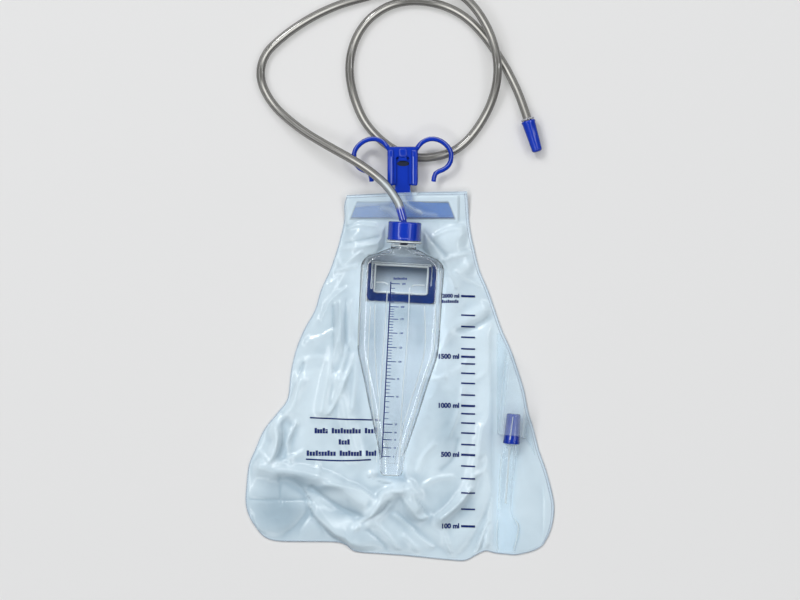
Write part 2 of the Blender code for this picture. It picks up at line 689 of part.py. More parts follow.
def chamber_sections(shrink=0.0):
    stations = [tuple(value * MM for value in s) for s in CHAMBER_STATIONS]
    extra = []
    for along in (COLUMN_FOOT - STATION_STEP, COLUMN_FOOT + COLUMN_RAMP, PANEL_FOOT - PANEL_STEP,
                  PANEL_FOOT + STATION_STEP, PANEL_TOP - COLUMN_RAMP):
        columns = [table_of([(s[0], s[k]) for s in stations], along) for k in (1, 2, 3)]
        extra.append((along, *columns))
    stations = sorted(stations + extra)
    if shrink:
        low = stations[0]
        stations[0] = (low[0] + shrink, *low[1:])
    return [chamber_ring(*s, shrink) for s in stations]


def circle_ring(along, radius):
    return chamber_ring(along, radius, radius, CHAMBER_DEPTH / 2)


def make_chamber(where, cutters, finish, frame):
    outer = chamber_sections() + [
        circle_ring(NECK_START, NECK_RADIUS),
        circle_ring(COLLAR_START, NECK_RADIUS),
        circle_ring(COLLAR_START, COLLAR_RADIUS),
        circle_ring(COLLAR_START + COLLAR_T, COLLAR_RADIUS),
        circle_ring(COLLAR_START + COLLAR_T, FINISH_RADIUS),
        circle_ring(FINISH_TOP, FINISH_RADIUS),
    ]
    inner = chamber_sections(CHAMBER_WALL) + [
        circle_ring(NECK_START, NECK_BORE),
        circle_ring(FINISH_TOP + 2 * MM, NECK_BORE),
    ]
    chamber = add("measuring_chamber", loft("measuring_chamber", outer), where, finish, frame)
    reach = FILM_WALL + 2 * TOUCH + FRAME_T + SPOUT_PAST_FRAME
    spout_size = (PORT_WIDTH, PORT_HEIGHT, reach + CHAMBER_WALL / 2)
    spout_at = (0, 0, CHAMBER_WALL / 4 - reach / 2)
    spout = block("port_spout", spout_size, spout_at, cutters, parent=frame, edge=PORT_CORNER)
    boolean(chamber, spout, "UNION")
    hollow = add("chamber_hollow", loft("chamber_hollow", inner), cutters, parent=frame)
    boolean(chamber, hollow, "DIFFERENCE")
    mouth_size = (PORT_WIDTH - 2 * PORT_WALL, PORT_HEIGHT - 2 * PORT_WALL, reach + 6 * MM)
    mouth = block("port_mouth", mouth_size, (0, 0, -reach / 2), cutters, parent=frame,
                  edge=PORT_CORNER - PORT_WALL)
    boolean(chamber, mouth, "DIFFERENCE")
    return chamber


def rounded_outline(data, width, height, corner, arc_points=5):
    """Adds a closed rounded rectangle to a 2D curve."""
    spots = []
    for quarter, (sx, sy) in enumerate([(1, 1), (-1, 1), (-1, -1), (1, -1)]):
        for k in range(arc_points):
            angle = math.pi / 2 * (quarter + k / (arc_points - 1))
            spots.append((sx * (width / 2 - corner) + corner * math.cos(angle),
                          sy * (height / 2 - corner) + corner * math.sin(angle)))
    outline(data, spots)


def outline(data, spots):
    line = data.splines.new("POLY")
    line.points.add(len(spots) - 1)
    line.use_cyclic_u = True
    for spot, (x, y) in zip(line.points, spots):
        spot.co = (x, y, 0.0, 1.0)


def plate(name, thickness, edge):
    """A flat 2D curve with thickness and softened edges. Its outlines are added by the caller."""
    data = bpy.data.curves.new(name, "CURVE")
    data.dimensions = "2D"
    data.fill_mode = "BOTH"
    data.extrude = thickness / 2 - edge
    data.bevel_depth = edge
    data.bevel_resolution = 1
    data.offset = -edge
    return data


def make_clamp_frame(where, finish, frame):
    opening = (PORT_WIDTH + 2 * TOUCH, PORT_HEIGHT + 2 * TOUCH)
    data = plate("port_clamp_frame", FRAME_T, FRAME_ROUND)
    rounded_outline(data, opening[0] + 2 * FRAME_BAND, opening[1] + 2 * FRAME_BAND, FRAME_CORNER)
    rounded_outline(data, *opening, PORT_CORNER + TOUCH)
    clamp = add("port_clamp_frame", data, where, finish, frame)
    clamp.location = (0, 0, -2 * TOUCH - FILM_WALL - FRAME_T / 2)
    return as_mesh(clamp, where, finish)


# Cap, seal, connector and valve on the chamber's neck

def make_neck_pieces(where, cutters, finishes, neck):
    seal_low = FINISH_TOP + TOUCH
    flange_low = seal_low + SEAL_T + TOUCH
    flange_high = flange_low + FLANGE_T
    under_top = flange_high + TOUCH
    cap_top = under_top + CAP_TOP_T
    skirt = COLLAR_START + COLLAR_T + TOUCH
    bore = FINISH_RADIUS + RUNNING
    turned("screw_cap", [
        (CAP_RADIUS - CAP_CHAMFER, cap_top), (CAP_RADIUS, cap_top - CAP_CHAMFER),
        (CAP_RADIUS, skirt + CAP_BEAD_HIGH), (CAP_BEAD, skirt + CAP_BEAD_LOW), (CAP_BEAD, skirt),
        (bore, skirt), (bore, under_top), (CAP_HOLE, under_top), (CAP_HOLE, cap_top),
    ], where, finishes["blue"], neck, closed=True)
    turned("cap_gasket", [
        (FINISH_RADIUS - TOUCH, seal_low + SEAL_T), (FINISH_RADIUS - TOUCH, seal_low),
        (SEAL_BORE, seal_low), (SEAL_BORE, seal_low + SEAL_T),
    ], where, finishes["seal"], neck, closed=True)
    nozzle_end = flange_low - NOZZLE_LENGTH
    connector = turned("inlet_connector", [
        (0.0, flange_high), (FINISH_RADIUS, flange_high), (FINISH_RADIUS, flange_low),
        (NOZZLE_RADIUS, flange_low), (NOZZLE_RADIUS, nozzle_end), (0.0, nozzle_end),
    ], where, finishes["blue"], neck, steps=28)
    root = Matrix.Translation((0, 0, flange_high - SPIGOT_ROOT))
    lean = root @ Matrix.Rotation(-SPIGOT_LEAN, 4, "Y")
    tip = SPIGOT_LENGTH + SPIGOT_ROOT
    spigot = turned("spigot", [
        (0.0, tip), (SPIGOT_RADIUS - SPIGOT_TIP_CUT, tip),
        (SPIGOT_RADIUS, tip - SPIGOT_TIP_RUN), (SPIGOT_RADIUS, 0.0), (0.0, 0.0),
    ], cutters, None, neck, steps=20)
    spigot.matrix_basis = lean
    boolean(connector, spigot, "UNION")
    spare = 3 * MM
    for name, depth, matrix in (
        ("spigot_bore", SPIGOT_LENGTH + spare, lean),
        ("nozzle_bore", -NOZZLE_LENGTH - spare, root),
    ):
        shape = bmesh.new()
        bmesh.ops.create_cone(shape, cap_ends=True, segments=14, radius1=SPIGOT_BORE,
                              radius2=SPIGOT_BORE, depth=abs(depth),
                              matrix=Matrix.Translation((0, 0, depth / 2)))
        bore_tool = add(name, mesh_of(name, shape), cutters, parent=neck, matrix=matrix)
        boolean(connector, bore_tool, "DIFFERENCE")
    inner = NOZZLE_RADIUS + TOUCH
    outer = inner + VALVE_WALL
    valve_top = nozzle_end + VALVE_GRIP
    shoulder = nozzle_end - TOUCH
    lips = valve_top - VALVE_LENGTH
    sections = [(lips, outer, VALVE_LIP_T / 2), (shoulder - VALVE_WALL, outer, outer * 0.85),
                (shoulder, outer, outer), (valve_top, outer, outer), (valve_top, inner, inner),
                (shoulder, inner, inner), (lips + VALVE_LIP_DEPTH, inner, VALVE_LIP_T / 4)]
    turns = [2 * math.pi * k / VALVE_POINTS for k in range(VALVE_POINTS)]
    rings = [[(wide * math.cos(a), thick * math.sin(a), height) for a in turns]
             for height, wide, thick in sections]
    add("nonreturn_valve", loft("nonreturn_valve", rings), where, finishes["seal"], neck)
    return lean


# Hanger

def bar_outline():
    half_height, stem = BAR_HEIGHT / 2, STEM_WIDTH / 2
    right = [(BAR_FOOT_HALF, -half_height), (BAR_TOP_HALF, half_height)]
    for k in range(7):
        angle = math.pi / 2 * k / 6
        right.append((stem + STEM_FLARE * (1 - math.sin(angle)),
                      half_height + STEM_FLARE * 0.9 * (1 - math.cos(angle))))
    chamfer = 1.5 * MM
    right += [(stem, STEM_TOP - chamfer), (stem - chamfer, STEM_TOP)]
    return right + [(-x, y) for x, y in reversed(right)]


def make_hanger(where, cutters, finishes, hanger):
    data = plate("hanger_bar", BAR_T, 0.3 * MM)
    outline(data, bar_outline())
    bar = add("hanger_bar", data, where, None, hanger)
    bar.location = (0, 0, BAR_T / 2)
    bar = as_mesh(bar, where, finishes["blue_bar"])
    rib_size = (2 * BAR_FOOT_HALF - 3 * MM, BAR_RIB_HEIGHT, BAR_T / 2 + BAR_RIB_T)
    rib_at = (0, BAR_RIB_HEIGHT / 2 - BAR_HEIGHT / 2 + 0.6 * MM, BAR_T / 2 + rib_size[2] / 2)
    boolean(bar, block("bar_rib", rib_size, rib_at, cutters, parent=hanger), "UNION")
    eye_size = (*STEM_EYE, 4 * BAR_T)
    eye_at = (0, STEM_EYE_AT, BAR_T / 2)
    eye = block("stem_eye", eye_size, eye_at, cutters, parent=hanger, edge=STEM_EYE_ROUND)
    boolean(bar, eye, "DIFFERENCE")

    low = -TOUCH - YOKE_BACK_T
    data = plate("hook_yoke", YOKE_T, YOKE_ROUND)
    data.bevel_resolution = 2
    middle = (YOKE_FOOT + YOKE_TOP) / 2
    rounded_outline(data, 2 * YOKE_HALF, YOKE_TOP - YOKE_FOOT, YOKE_ROUND + 0.8 * MM, 4)
    yoke = add("hook_yoke", data, where, None, hanger)
    yoke.location = (0, middle, low + YOKE_T / 2)
    yoke = as_mesh(yoke, where, finishes["blue"])
    hook_height = low + YOKE_T / 2
    spots = [(x, y, hook_height) for x, y in
             ((p.x, p.y) for p in smooth_line([(*p, 0.0) for p in in_metres(HOOK_LINE)], HOOK_POINTS))]
    hooks = as_mesh(tube("hooks", spots, HOOK_WIRE / 2, cutters, None, hanger), cutters)
    pair = hooks.modifiers.new("Mirror", "MIRROR")
    pair.merge_threshold = 0.00001
    boolean(yoke, hooks, "UNION")
    slot_side = STEM_WIDTH + 2 * TOUCH
    slot_end = STEM_TOP + TOUCH
    slot_size = (slot_side, slot_end - YOKE_FOOT + 4 * MM, BAR_T + 2 * TOUCH)
    slot_at = (0, slot_end - slot_size[1] / 2, BAR_T / 2)
    boolean(yoke, block("stem_slot", slot_size, slot_at, cutters, parent=hanger), "DIFFERENCE")
    window_size = (STEM_WIDTH - 2 * YOKE_LIP, YOKE_WINDOW_TOP - YOKE_FOOT + 4 * MM, YOKE_T)
    window_at = (0, YOKE_WINDOW_TOP - window_size[1] / 2, BAR_T / 2 + window_size[2] / 2)
    window = block("yoke_window", window_size, window_at, cutters, parent=hanger, edge=2.0 * MM)
    boolean(yoke, window, "DIFFERENCE")
    tongue_size = (TONGUE_WIDTH, YOKE_TOP - 3 * MM - TONGUE_FOOT, TONGUE_T)
    tongue_at = (0, TONGUE_FOOT + tongue_size[1] / 2, BAR_T + 2 * TOUCH + TONGUE_T / 2)
    tongue = block("snap_tongue", tongue_size, tongue_at, cutters, parent=hanger)
    boolean(yoke, tongue, "UNION")


# Inlet tube and its connector

def make_tube(where, cutters, finishes, neck, lean):
    bpy.context.view_layer.update()
    start = neck.matrix_world @ lean @ Vector((0, 0, TUBE_START + SPIGOT_ROOT))
    tip = neck.matrix_world @ lean @ Vector((0, 0, SPIGOT_LENGTH + SPIGOT_ROOT))
    tail = frame_at("tail_axis", TAIL_AT, Matrix.Rotation(TAIL_TURN, 4, "Z")
                    @ Matrix.Rotation(-math.pi / 2, 4, "X"))
    bpy.context.view_layer.update()
    end = tail.matrix_world @ Vector((0, 0, 0))
    route = [start, tip, *in_metres(TUBE_LINE), end]
    hose = tube("inlet_tube", smooth_line(route, TUBE_POINTS), TUBE_OD / 2, where, None,
                resolution=2)
    hose = as_mesh(hose, where, finishes["tube"])
    for name, matrix, radius, away in (
        ("spigot_socket", neck.matrix_world @ lean, SPIGOT_RADIUS + TOUCH,
         (TUBE_START - 1 * MM, SPIGOT_LENGTH + SPIGOT_ROOT + TOUCH)),
        ("barb_socket", tail.matrix_world, BARB_RADIUS + TOUCH, (-TUBE_GRIP - TOUCH, 2 * MM)),
    ):
        shape = bmesh.new()
        bmesh.ops.create_cone(shape, cap_ends=True, segments=14, radius1=radius, radius2=radius,
                              depth=away[1] - away[0],
                              matrix=Matrix.Translation((0, 0, (away[0] + away[1]) / 2)))
        socket = add(name, mesh_of(name, shape), cutters, matrix=matrix)
        boolean(hose, socket, "DIFFERENCE")

    collar_low, collar_high = TOUCH, TOUCH + TAIL_COLLAR_T
    nose_end = collar_high + NOSE_LENGTH
    turned("catheter_connector", [
        (NOSE_TIP, nose_end), (NOSE_ROOT, collar_high), (TAIL_COLLAR_RADIUS, collar_high),
        (TAIL_COLLAR_RADIUS, collar_low), (BARB_RADIUS - 0.2 * MM, collar_low),
        (BARB_RADIUS, -TUBE_GRIP + 2 * MM), (BARB_RADIUS - 0.6 * MM, -TUBE_GRIP),
        (NOSE_BORE, -TUBE_GRIP), (NOSE_BORE, nose_end),
    ], where, finishes["clear"], tail, steps=24, closed=True)
    mouth = collar_high + TOUCH
    cap_end = mouth + TAIL_CAP_LENGTH
    bore_end = nose_end + TOUCH
    turned("connector_cap", [
        (0.0, cap_end), (TAIL_CAP_END, cap_end), (TAIL_CAP_TIP - 0.4 * MM, cap_end - 0.8 * MM),
        (TAIL_CAP_TIP, cap_end - 2.0 * MM), (TAIL_CAP_MOUTH, mouth + 1.0 * MM),
        (TAIL_CAP_MOUTH - 0.3 * MM, mouth), (NOSE_ROOT + TOUCH, mouth),
        (NOSE_TIP + TOUCH, bore_end), (0.0, bore_end),
    ], where, finishes["blue"], tail, steps=28)


# Drain

def make_drain(where, finishes):
    axis = frame_at("plug_axis", plug_place(), Matrix.Rotation(PLUG_TURN, 4, "Z")
                    @ Matrix.Rotation(-math.pi / 2, 4, "X"))
    turned("drain_plug", [
        (0.0, PLUG_LENGTH), (PLUG_TOP - 0.8 * MM, PLUG_LENGTH), (PLUG_TOP, PLUG_LENGTH - 0.8 * MM),
        (PLUG_MOUTH - 0.3 * MM, 2.4 * MM), (PLUG_MOUTH, 1.8 * MM), (PLUG_MOUTH, 0.0),
        (PLUG_BORE, 0.0), (PLUG_BORE - 0.3 * MM, PLUG_DEPTH), (0.0, PLUG_DEPTH),
    ], where, finishes["blue"], axis, steps=28)
    bpy.context.view_layer.update()
    stations = [(*on_bag(x, y), *rest) for x, y, *rest in in_metres(SLEEVE_STATIONS)]
    round_half = PLUG_BORE - 0.3 * MM - TOUCH
    for along in (0.0, PLUG_GRIP):
        spot = axis.matrix_world @ Vector((0, 0, along))
        stations.append((*spot, round_half, round_half))
    outer = [sleeve_ring(*s, 0.0) for s in stations]
    inner = [sleeve_ring(*s, SLEEVE_WALL) for s in reversed(stations[1:])]
    add("drain_sleeve", loft("drain_sleeve", outer + inner), where, finishes["film"])


def sleeve_ring(x, y, z, wide, thick, wall):
    wide, thick = wide - wall, thick - wall
    angles = (2 * math.pi * k / SLEEVE_POINTS for k in range(SLEEVE_POINTS))
    return [(x + wide * math.cos(a), y, z + thick * math.sin(a)) for a in angles]


def make_films(where, cutters, finishes, chamber_frame):
    bag = Patch(BOTTOM_EDGE, TOP_EDGE, LEFT_EDGE, RIGHT_EDGE)
    film("back_film", bag, BACK_COLUMNS, BACK_POINTS, back_height, where, finishes["film"],
         CROWDING)
    front = film("front_film", bag, FRONT_COLUMNS, FRONT_POINTS, front_height, where,
                 finishes["film"], CROWDING)
    hole_size = (PORT_WIDTH + 2 * TOUCH, PORT_HEIGHT + 2 * TOUCH, PORT_CUT)
    hole = block("port_hole", hole_size, (0, 0, 0), cutters, parent=chamber_frame,
                 edge=PORT_CORNER)
    boolean(front, hole, "DIFFERENCE")
    pocket = Patch(POCKET_BOTTOM, POCKET_TOP, POCKET_LEFT, POCKET_RIGHT)
    film("drain_pocket", pocket, POCKET_COLUMNS, POCKET_POINTS, pocket_height, where,
         finishes["film"])


def main():
    clear_scene()
    bag = collection("urine_drainage_bag")
    cutters = collection("cutters")
    finishes = {
        "film": material("clear_film", (0.72, 0.83, 0.88), 0.3, alpha=0.6),
        "clear": material("clear_plastic", (0.9, 0.95, 0.97), 0.08, alpha=0.4, transmission=0.8),
        "tube": material("tube", (0.55, 0.56, 0.52), 0.15, alpha=0.7),
        "blue": material("blue_plastic", (0.01, 0.045, 0.52), 0.25),
        "blue_bar": material("blue_bar", (0.02, 0.08, 0.55), 0.3),
        "seal": material("soft_seal", (0.1, 0.12, 0.16), 0.6),
    }
    chamber_frame = frame_at("chamber_frame", CHAMBER_AT, Matrix.Rotation(CHAMBER_TURN, 4, "Z")
                             @ Matrix.Rotation(CHAMBER_LEAN, 4, "X"))
    neck = frame_at("neck_axis", (0, 0, CHAMBER_DEPTH / 2), Matrix.Rotation(-math.pi / 2, 4, "X"),
                    chamber_frame)
    hanger = frame_at("hanger_frame", (HANGER_X, HANGER_Y, bar_floor(HANGER_Y)),
                      Matrix.Rotation(HANGER_LEAN, 4, "X"))
    make_films(bag, cutters, finishes, chamber_frame)
    make_chamber(bag, cutters, finishes["clear"], chamber_frame)
    make_clamp_frame(bag, finishes["blue"], chamber_frame)
    lean = make_neck_pieces(bag, cutters, finishes, neck)
    make_hanger(bag, cutters, finishes, hanger)
    make_tube(bag, cutters, finishes, neck, lean)
    make_drain(bag, finishes)


main()
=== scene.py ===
"""Looks of a urine drainage bag that lies on its back on a pale table.

Lengths are in metres. Fold lines and prints are in drawing units of the bag seen from the front:
x runs right, y runs down, and one unit is 0.875 mm. Other lists of points are in millimetres.
"""

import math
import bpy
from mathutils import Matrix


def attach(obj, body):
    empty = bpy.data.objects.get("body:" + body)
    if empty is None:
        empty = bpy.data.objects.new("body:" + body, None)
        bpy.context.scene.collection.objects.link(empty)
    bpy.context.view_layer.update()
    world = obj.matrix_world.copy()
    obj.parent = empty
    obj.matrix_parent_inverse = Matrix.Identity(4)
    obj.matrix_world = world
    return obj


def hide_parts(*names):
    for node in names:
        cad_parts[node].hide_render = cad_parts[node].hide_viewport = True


bl_info = {
    "name": "Urine drainage bag",
    "version": (1, 0, 0),
    "blender": (4, 5, 0),
    "location": "3D View > Sidebar > Drainage Bag",
    "description": "Dresses the solid model with its films, clear chamber, tube, caps and prints",
    "category": "Add Mesh",
}

import bmesh
import bpy
import numpy as np
from bpy.props import FloatProperty, FloatVectorProperty, IntProperty, PointerProperty
from mathutils import Matrix, Vector, noise
from mathutils.bvhtree import BVHTree
from mathutils.kdtree import KDTree

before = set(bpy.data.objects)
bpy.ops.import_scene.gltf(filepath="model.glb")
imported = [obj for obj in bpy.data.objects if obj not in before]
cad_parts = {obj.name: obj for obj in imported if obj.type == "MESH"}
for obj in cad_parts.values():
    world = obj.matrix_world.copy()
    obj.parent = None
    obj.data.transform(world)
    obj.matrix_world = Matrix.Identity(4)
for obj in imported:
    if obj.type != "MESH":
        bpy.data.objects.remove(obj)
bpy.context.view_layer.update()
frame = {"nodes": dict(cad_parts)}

MM = 0.001
UNIT = 0.875 * MM
# In drawing units: the table's origin, and the width and middle height of the camera's view
DRAWING_CENTRE = (400.0, 348.5)
DRAWING_WIDTH = 800
DRAWING_MIDDLE = 300
# Points nearer than the first are one, and pieces that meet keep the second between them
WELD = 0.002 * MM
TOUCH = 0.3 * MM

# Outline of the bag, each side from one corner to the next
TOP_EDGE = [(-46.4, 133.9), (-12.2, 135.6), (13.1, 136.5), (58.6, 137.4)]
LEFT_EDGE = [
    (-125.1, -157.9), (-131.5, -147.4), (-134.9, -135.2), (-134.2, -119.4), (-132.1, -101.9),
    (-126.9, -88.8), (-119.0, -71.3), (-106.8, -55.6), (-99.8, -46.8), (-97.1, -38.1),
    (-95.4, -20.6), (-91.0, -1.3), (-84.0, 16.2), (-74.4, 33.7), (-69.1, 51.2), (-61.2, 68.7),
    (-55.1, 86.2), (-50.8, 101.9), (-48.5, 114.2), (-48.7, 124.7), (-46.4, 133.9),
]
RIGHT_EDGE = [
    (125.1, -171.9), (130.4, -162.3), (133.6, -151.8), (134.9, -137.8), (132.5, -123.8),
    (127.8, -106.3), (121.6, -88.8), (117.2, -71.3), (112.0, -53.8), (108.5, -36.3),
    (103.2, -18.8), (97.1, -1.3), (89.2, 16.2), (83.1, 33.7), (77.0, 51.2), (69.6, 68.7),
    (65.2, 86.2), (61.2, 105.4), (59.5, 126.4), (58.6, 137.4),
]
BOTTOM_EDGE = [
    (-125.1, -157.9), (-118.1, -164.9), (-106.8, -168.4), (-83.1, -168.9), (-56.9, -169.3),
    (-47.2, -171.9), (-38.5, -177.6), (-13.1, -179.8), (4.4, -181.1), (26.2, -183.3),
    (45.5, -185.1), (56.9, -185.4), (65.6, -181.1), (74.4, -177.2), (83.1, -178.9),
    (91.9, -179.8), (100.6, -180.5), (109.4, -178.9), (118.1, -176.3), (125.1, -171.9),
]
# Outline of the drain's pocket
POCKET_BOTTOM = [(84.9, -74.8), (98.0, -75.6), (107.5, -77.6), (113.8, -84.6), (118.1, -94.1)]
POCKET_TOP = [(84.9, 13.0), (88.0, 13.0)]
POCKET_LEFT = [(84.9, -74.8), (84.9, -30.0), (84.9, 13.0)]
POCKET_RIGHT = [
    (118.1, -94.1), (114.2, -71.3), (109.0, -53.8), (105.3, -36.3), (100.0, -18.8),
    (94.0, -1.3), (88.0, 13.0),
]

# Folds of the front film in drawing units: height in mm, width in mm to the left and to the right
# of the line as it runs, and the line. A negative height is a valley.
BROAD_FOLDS = [
    (5.5, 7, 8, [(261, 466), (281, 471), (307, 474), (328, 480), (346, 490), (362, 501)]),
    (-2.5, 8, 8, [(287, 477), (322, 503), (354, 517)]),
    (5.0, 7, 7, [(370, 517), (391, 495), (407, 489), (417, 507)]),
    (3.2, 3, 16, [(356, 550), (338, 533.5), (315.5, 505)]),
    (-2.5, 7, 7, [(393, 513), (424, 537.5), (444, 556)]),
    (2.0, 5, 5, [(370.6, 477.4), (403, 484.3), (415.5, 492.6)]),
    (3.6, 6, 6, [(441, 520), (465, 492), (475.4, 460), (482.4, 429)]),
    (-2.5, 6, 6, [(487, 521), (475, 540), (464.5, 558)]),
    (3.6, 6, 6, [(265, 420), (277, 438), (273, 452)]),
    (-2.2, 6, 6, [(282, 415), (295, 430), (283, 455)]),
    (4.2, 6, 6, [(300, 380), (287.3, 410), (274.3, 419.2)]),
    (4.4, 6, 6, [(347.4, 300), (337.7, 340), (327.8, 380), (322, 410)]),
    (4.0, 6, 6, [(340.5, 380), (347.4, 420), (356.6, 455)]),
    (2.4, 6, 6, [(348, 240), (368, 237), (379.4, 246)]),
    (2.8, 6, 6, [(430.3, 250), (448, 240), (466, 232)]),
    (2.8, 6, 6, [(449.6, 290), (458, 272), (476, 262)]),
    (2.6, 6, 6, [(449.6, 330), (470, 318), (492, 306)]),
]
# Fine creases and ridges: height, widths and line as above
CREASES = [
    (1.5, 1.6, 2.6, [(354.4, 356), (346, 378), (337.8, 397.8), (329.5, 412.8)]),
    (1.1, 2.2, 2.2, [(349.5, 341.5), (339.5, 374.6), (332.9, 399.5)]),
    (1.0, 1.6, 1.6, [(356, 359.7), (356, 374.6), (354.4, 392.9), (352.8, 407.8)]),
    (-0.9, 1.8, 1.8, [(333, 306), (333, 340), (333.5, 371)]),
    (0.9, 1.5, 1.5, [(339.5, 304), (340, 330), (342, 352)]),
    (-0.8, 1.6, 1.6, [(346, 300), (346, 333), (349, 350)]),
    (0.9, 1.5, 1.5, [(352, 302), (351, 330), (353, 348)]),
    (0.8, 2.0, 3.5, [(306, 341), (320, 337), (333, 330)]),
    (0.8, 2.4, 4.0, [(300, 361), (313, 358), (326, 358)]),
    (-1.2, 2.4, 2.4, [(303, 363), (294.7, 386), (281.5, 412.8)]),
    (1.6, 2.0, 3.0, [(273, 422.7), (277.3, 432.7), (276.5, 449), (271.5, 459)]),
    (-1.4, 3.0, 3.0, [(284, 424), (283, 440), (281, 456)]),
    (1.4, 1.8, 2.4, [(296.4, 422.7), (289.8, 437.6), (288, 452.6), (291.4, 461)]),
    (0.9, 1.6, 1.6, [(256.6, 447), (264.9, 456), (270, 462)]),
    (1.0, 1.8, 1.8, [(278, 462.5), (294.7, 456), (303, 451)]),
    (1.5, 1.8, 3.4, [(326, 484), (346, 485.7), (362.7, 490.7), (374, 500)]),
    (-1.6, 2.6, 2.6, [(312, 488), (332.9, 503), (352, 514), (366, 517)]),
    (0.8, 1.6, 2.0, [(318, 455), (319.6, 475.8)]),
    (-0.6, 1.4, 1.4, [(250, 499), (280, 500), (313, 499)]),
    (-0.6, 1.4, 1.4, [(279.8, 476), (281, 504)]),
    (-2.2, 4.0, 5.0, [(313, 505.6), (303, 520.6), (288, 538.8)]),
    (2.2, 1.3, 5.0, [(356, 550.4), (332.9, 532), (314.6, 514), (309, 503)]),
    (1.8, 1.8, 2.6, [(384, 494), (372.7, 514), (362.7, 520.6), (356, 529)]),
    (-1.4, 1.8, 1.8, [(361, 523), (381, 511.5), (389, 501.5)]),
    (1.3, 1.6, 2.0, [(380, 495), (389, 490.7), (400, 487)]),
    (-1.4, 1.6, 1.6, [(369, 477), (382.6, 482), (392, 484), (403.5, 485)]),
    (1.3, 1.4, 2.0, [(372, 473), (384, 478.5), (396, 480.5), (406, 480.5)]),
    (-1.5, 1.8, 1.8, [(403.5, 485), (412, 491), (418.7, 501), (428.9, 513)]),
    (1.5, 1.6, 1.8, [(393, 489), (400, 492.6), (407, 502.8), (418.7, 518), (427, 516)]),
    (1.4, 1.6, 2.2, [(395, 514.6), (407, 524.7), (418.7, 536.6), (432, 546.7)]),
    (1.1, 1.5, 1.5, [(376, 524), (388, 536), (398, 549)]),
    (-1.0, 1.6, 1.6, [(368, 530), (381, 541), (389, 552)]),
    (1.0, 1.5, 2.2, [(404, 536), (416, 548), (420, 556)]),
    (2.0, 1.8, 2.6, [(440.7, 518), (454, 507.8), (462.7, 499), (469.4, 490)]),
    (1.4, 1.4, 1.8, [(441, 516), (445.8, 536.6), (453, 557)]),
    (1.8, 1.6, 2.4, [(476, 554), (482, 535), (491, 516), (499, 506)]),
    (1.5, 1.6, 2.2, [(492.5, 426), (486, 443.6), (478, 455)]),
    (1.0, 1.6, 2.6, [(471, 477), (484.6, 469), (498, 455)]),
    (-1.3, 2.4, 2.4, [(492, 492), (484.6, 519.7), (474.5, 545)]),
    (-1.6, 4.0, 3.0, [(459, 331), (476, 327), (492, 316)]),
    (0.9, 1.2, 1.8, [(426, 377), (435, 378.5), (445, 376)]),
    (0.8, 2.0, 2.0, [(435.6, 367.6), (441, 350), (449, 332)]),
    (0.8, 1.6, 2.2, [(476, 379), (484, 374), (491, 366)]),
    (0.7, 1.6, 1.6, [(452, 372), (463, 366), (470, 356)]),
    (0.9, 1.6, 2.0, [(341, 249), (361, 247), (379, 243)]),
    (-0.9, 1.8, 1.8, [(345, 243), (362, 240), (380, 237)]),
    (0.8, 1.5, 1.5, [(348, 229), (357, 225), (375, 226)]),
    (1.0, 1.7, 2.2, [(337, 258), (341.6, 265), (350, 260), (361, 252.5)]),
    (0.9, 1.6, 1.6, [(336, 271), (350, 267), (358, 266)]),
    (-1.3, 3.0, 3.4, [(424, 231), (437, 246), (446, 256)]),
    (1.1, 1.7, 2.2, [(444, 259.6), (455, 256), (470, 252.5)]),
    (0.9, 1.5, 2.2, [(441, 267), (450, 276), (455, 288)]),
    (0.9, 1.8, 1.8, [(456, 272), (468, 280), (482, 286)]),
    (0.8, 1.6, 1.6, [(432, 238), (446, 231), (462, 228)]),
    (0.8, 1.4, 1.8, [(463, 388), (459, 410), (449, 436)]),
    (-0.8, 2.4, 2.4, [(441, 470), (453, 458), (458, 440)]),
    (1.0, 1.6, 2.4, [(424, 484), (436, 478), (452, 476)]),
    (0.9, 1.6, 2.0, [(418, 470), (424, 455), (434, 444)]),
    (0.7, 1.4, 1.4, [(326, 430), (340, 440), (349, 462)]),
    (1.0, 1.5, 1.8, [(306, 300), (317, 288), (330, 282)]),
    (0.8, 1.6, 2.2, [(322, 318), (331, 300), (346, 288)]),
    (1.2, 1.4, 1.8, [(495, 548), (498, 530), (497, 514)]),
    (-1.0, 1.4, 1.4, [(503, 552), (504, 536), (502, 522)]),
    (1.2, 1.2, 1.8, [(493, 518), (489.5, 532), (487, 547)]),
    (-1.0, 1.3, 1.3, [(489, 524), (484.5, 538), (481, 550)]),
    (0.9, 1.2, 1.6, [(498, 424), (505, 419), (509, 412)]),
    (-0.8, 1.5, 1.5, [(494, 446), (500, 436), (505, 428)]),
]

# Wrinkles of the film where it is drawn over the hanger's bar
BAR_WRINKLES = [
    (0.8, 1.2, 2.6, [(402.5, 196), (405.5, 202.5), (413, 208.8), (420, 212)]),
    (0.4, 1.2, 2.2, [(418, 211), (426, 213.6), (436, 215)]),
    (0.5, 1.6, 2.0, [(383, 207.5), (390, 210), (397, 216)]),
    (0.5, 2.0, 1.2, [(357, 205.5), (372, 204.2), (388, 203.4)]),
]

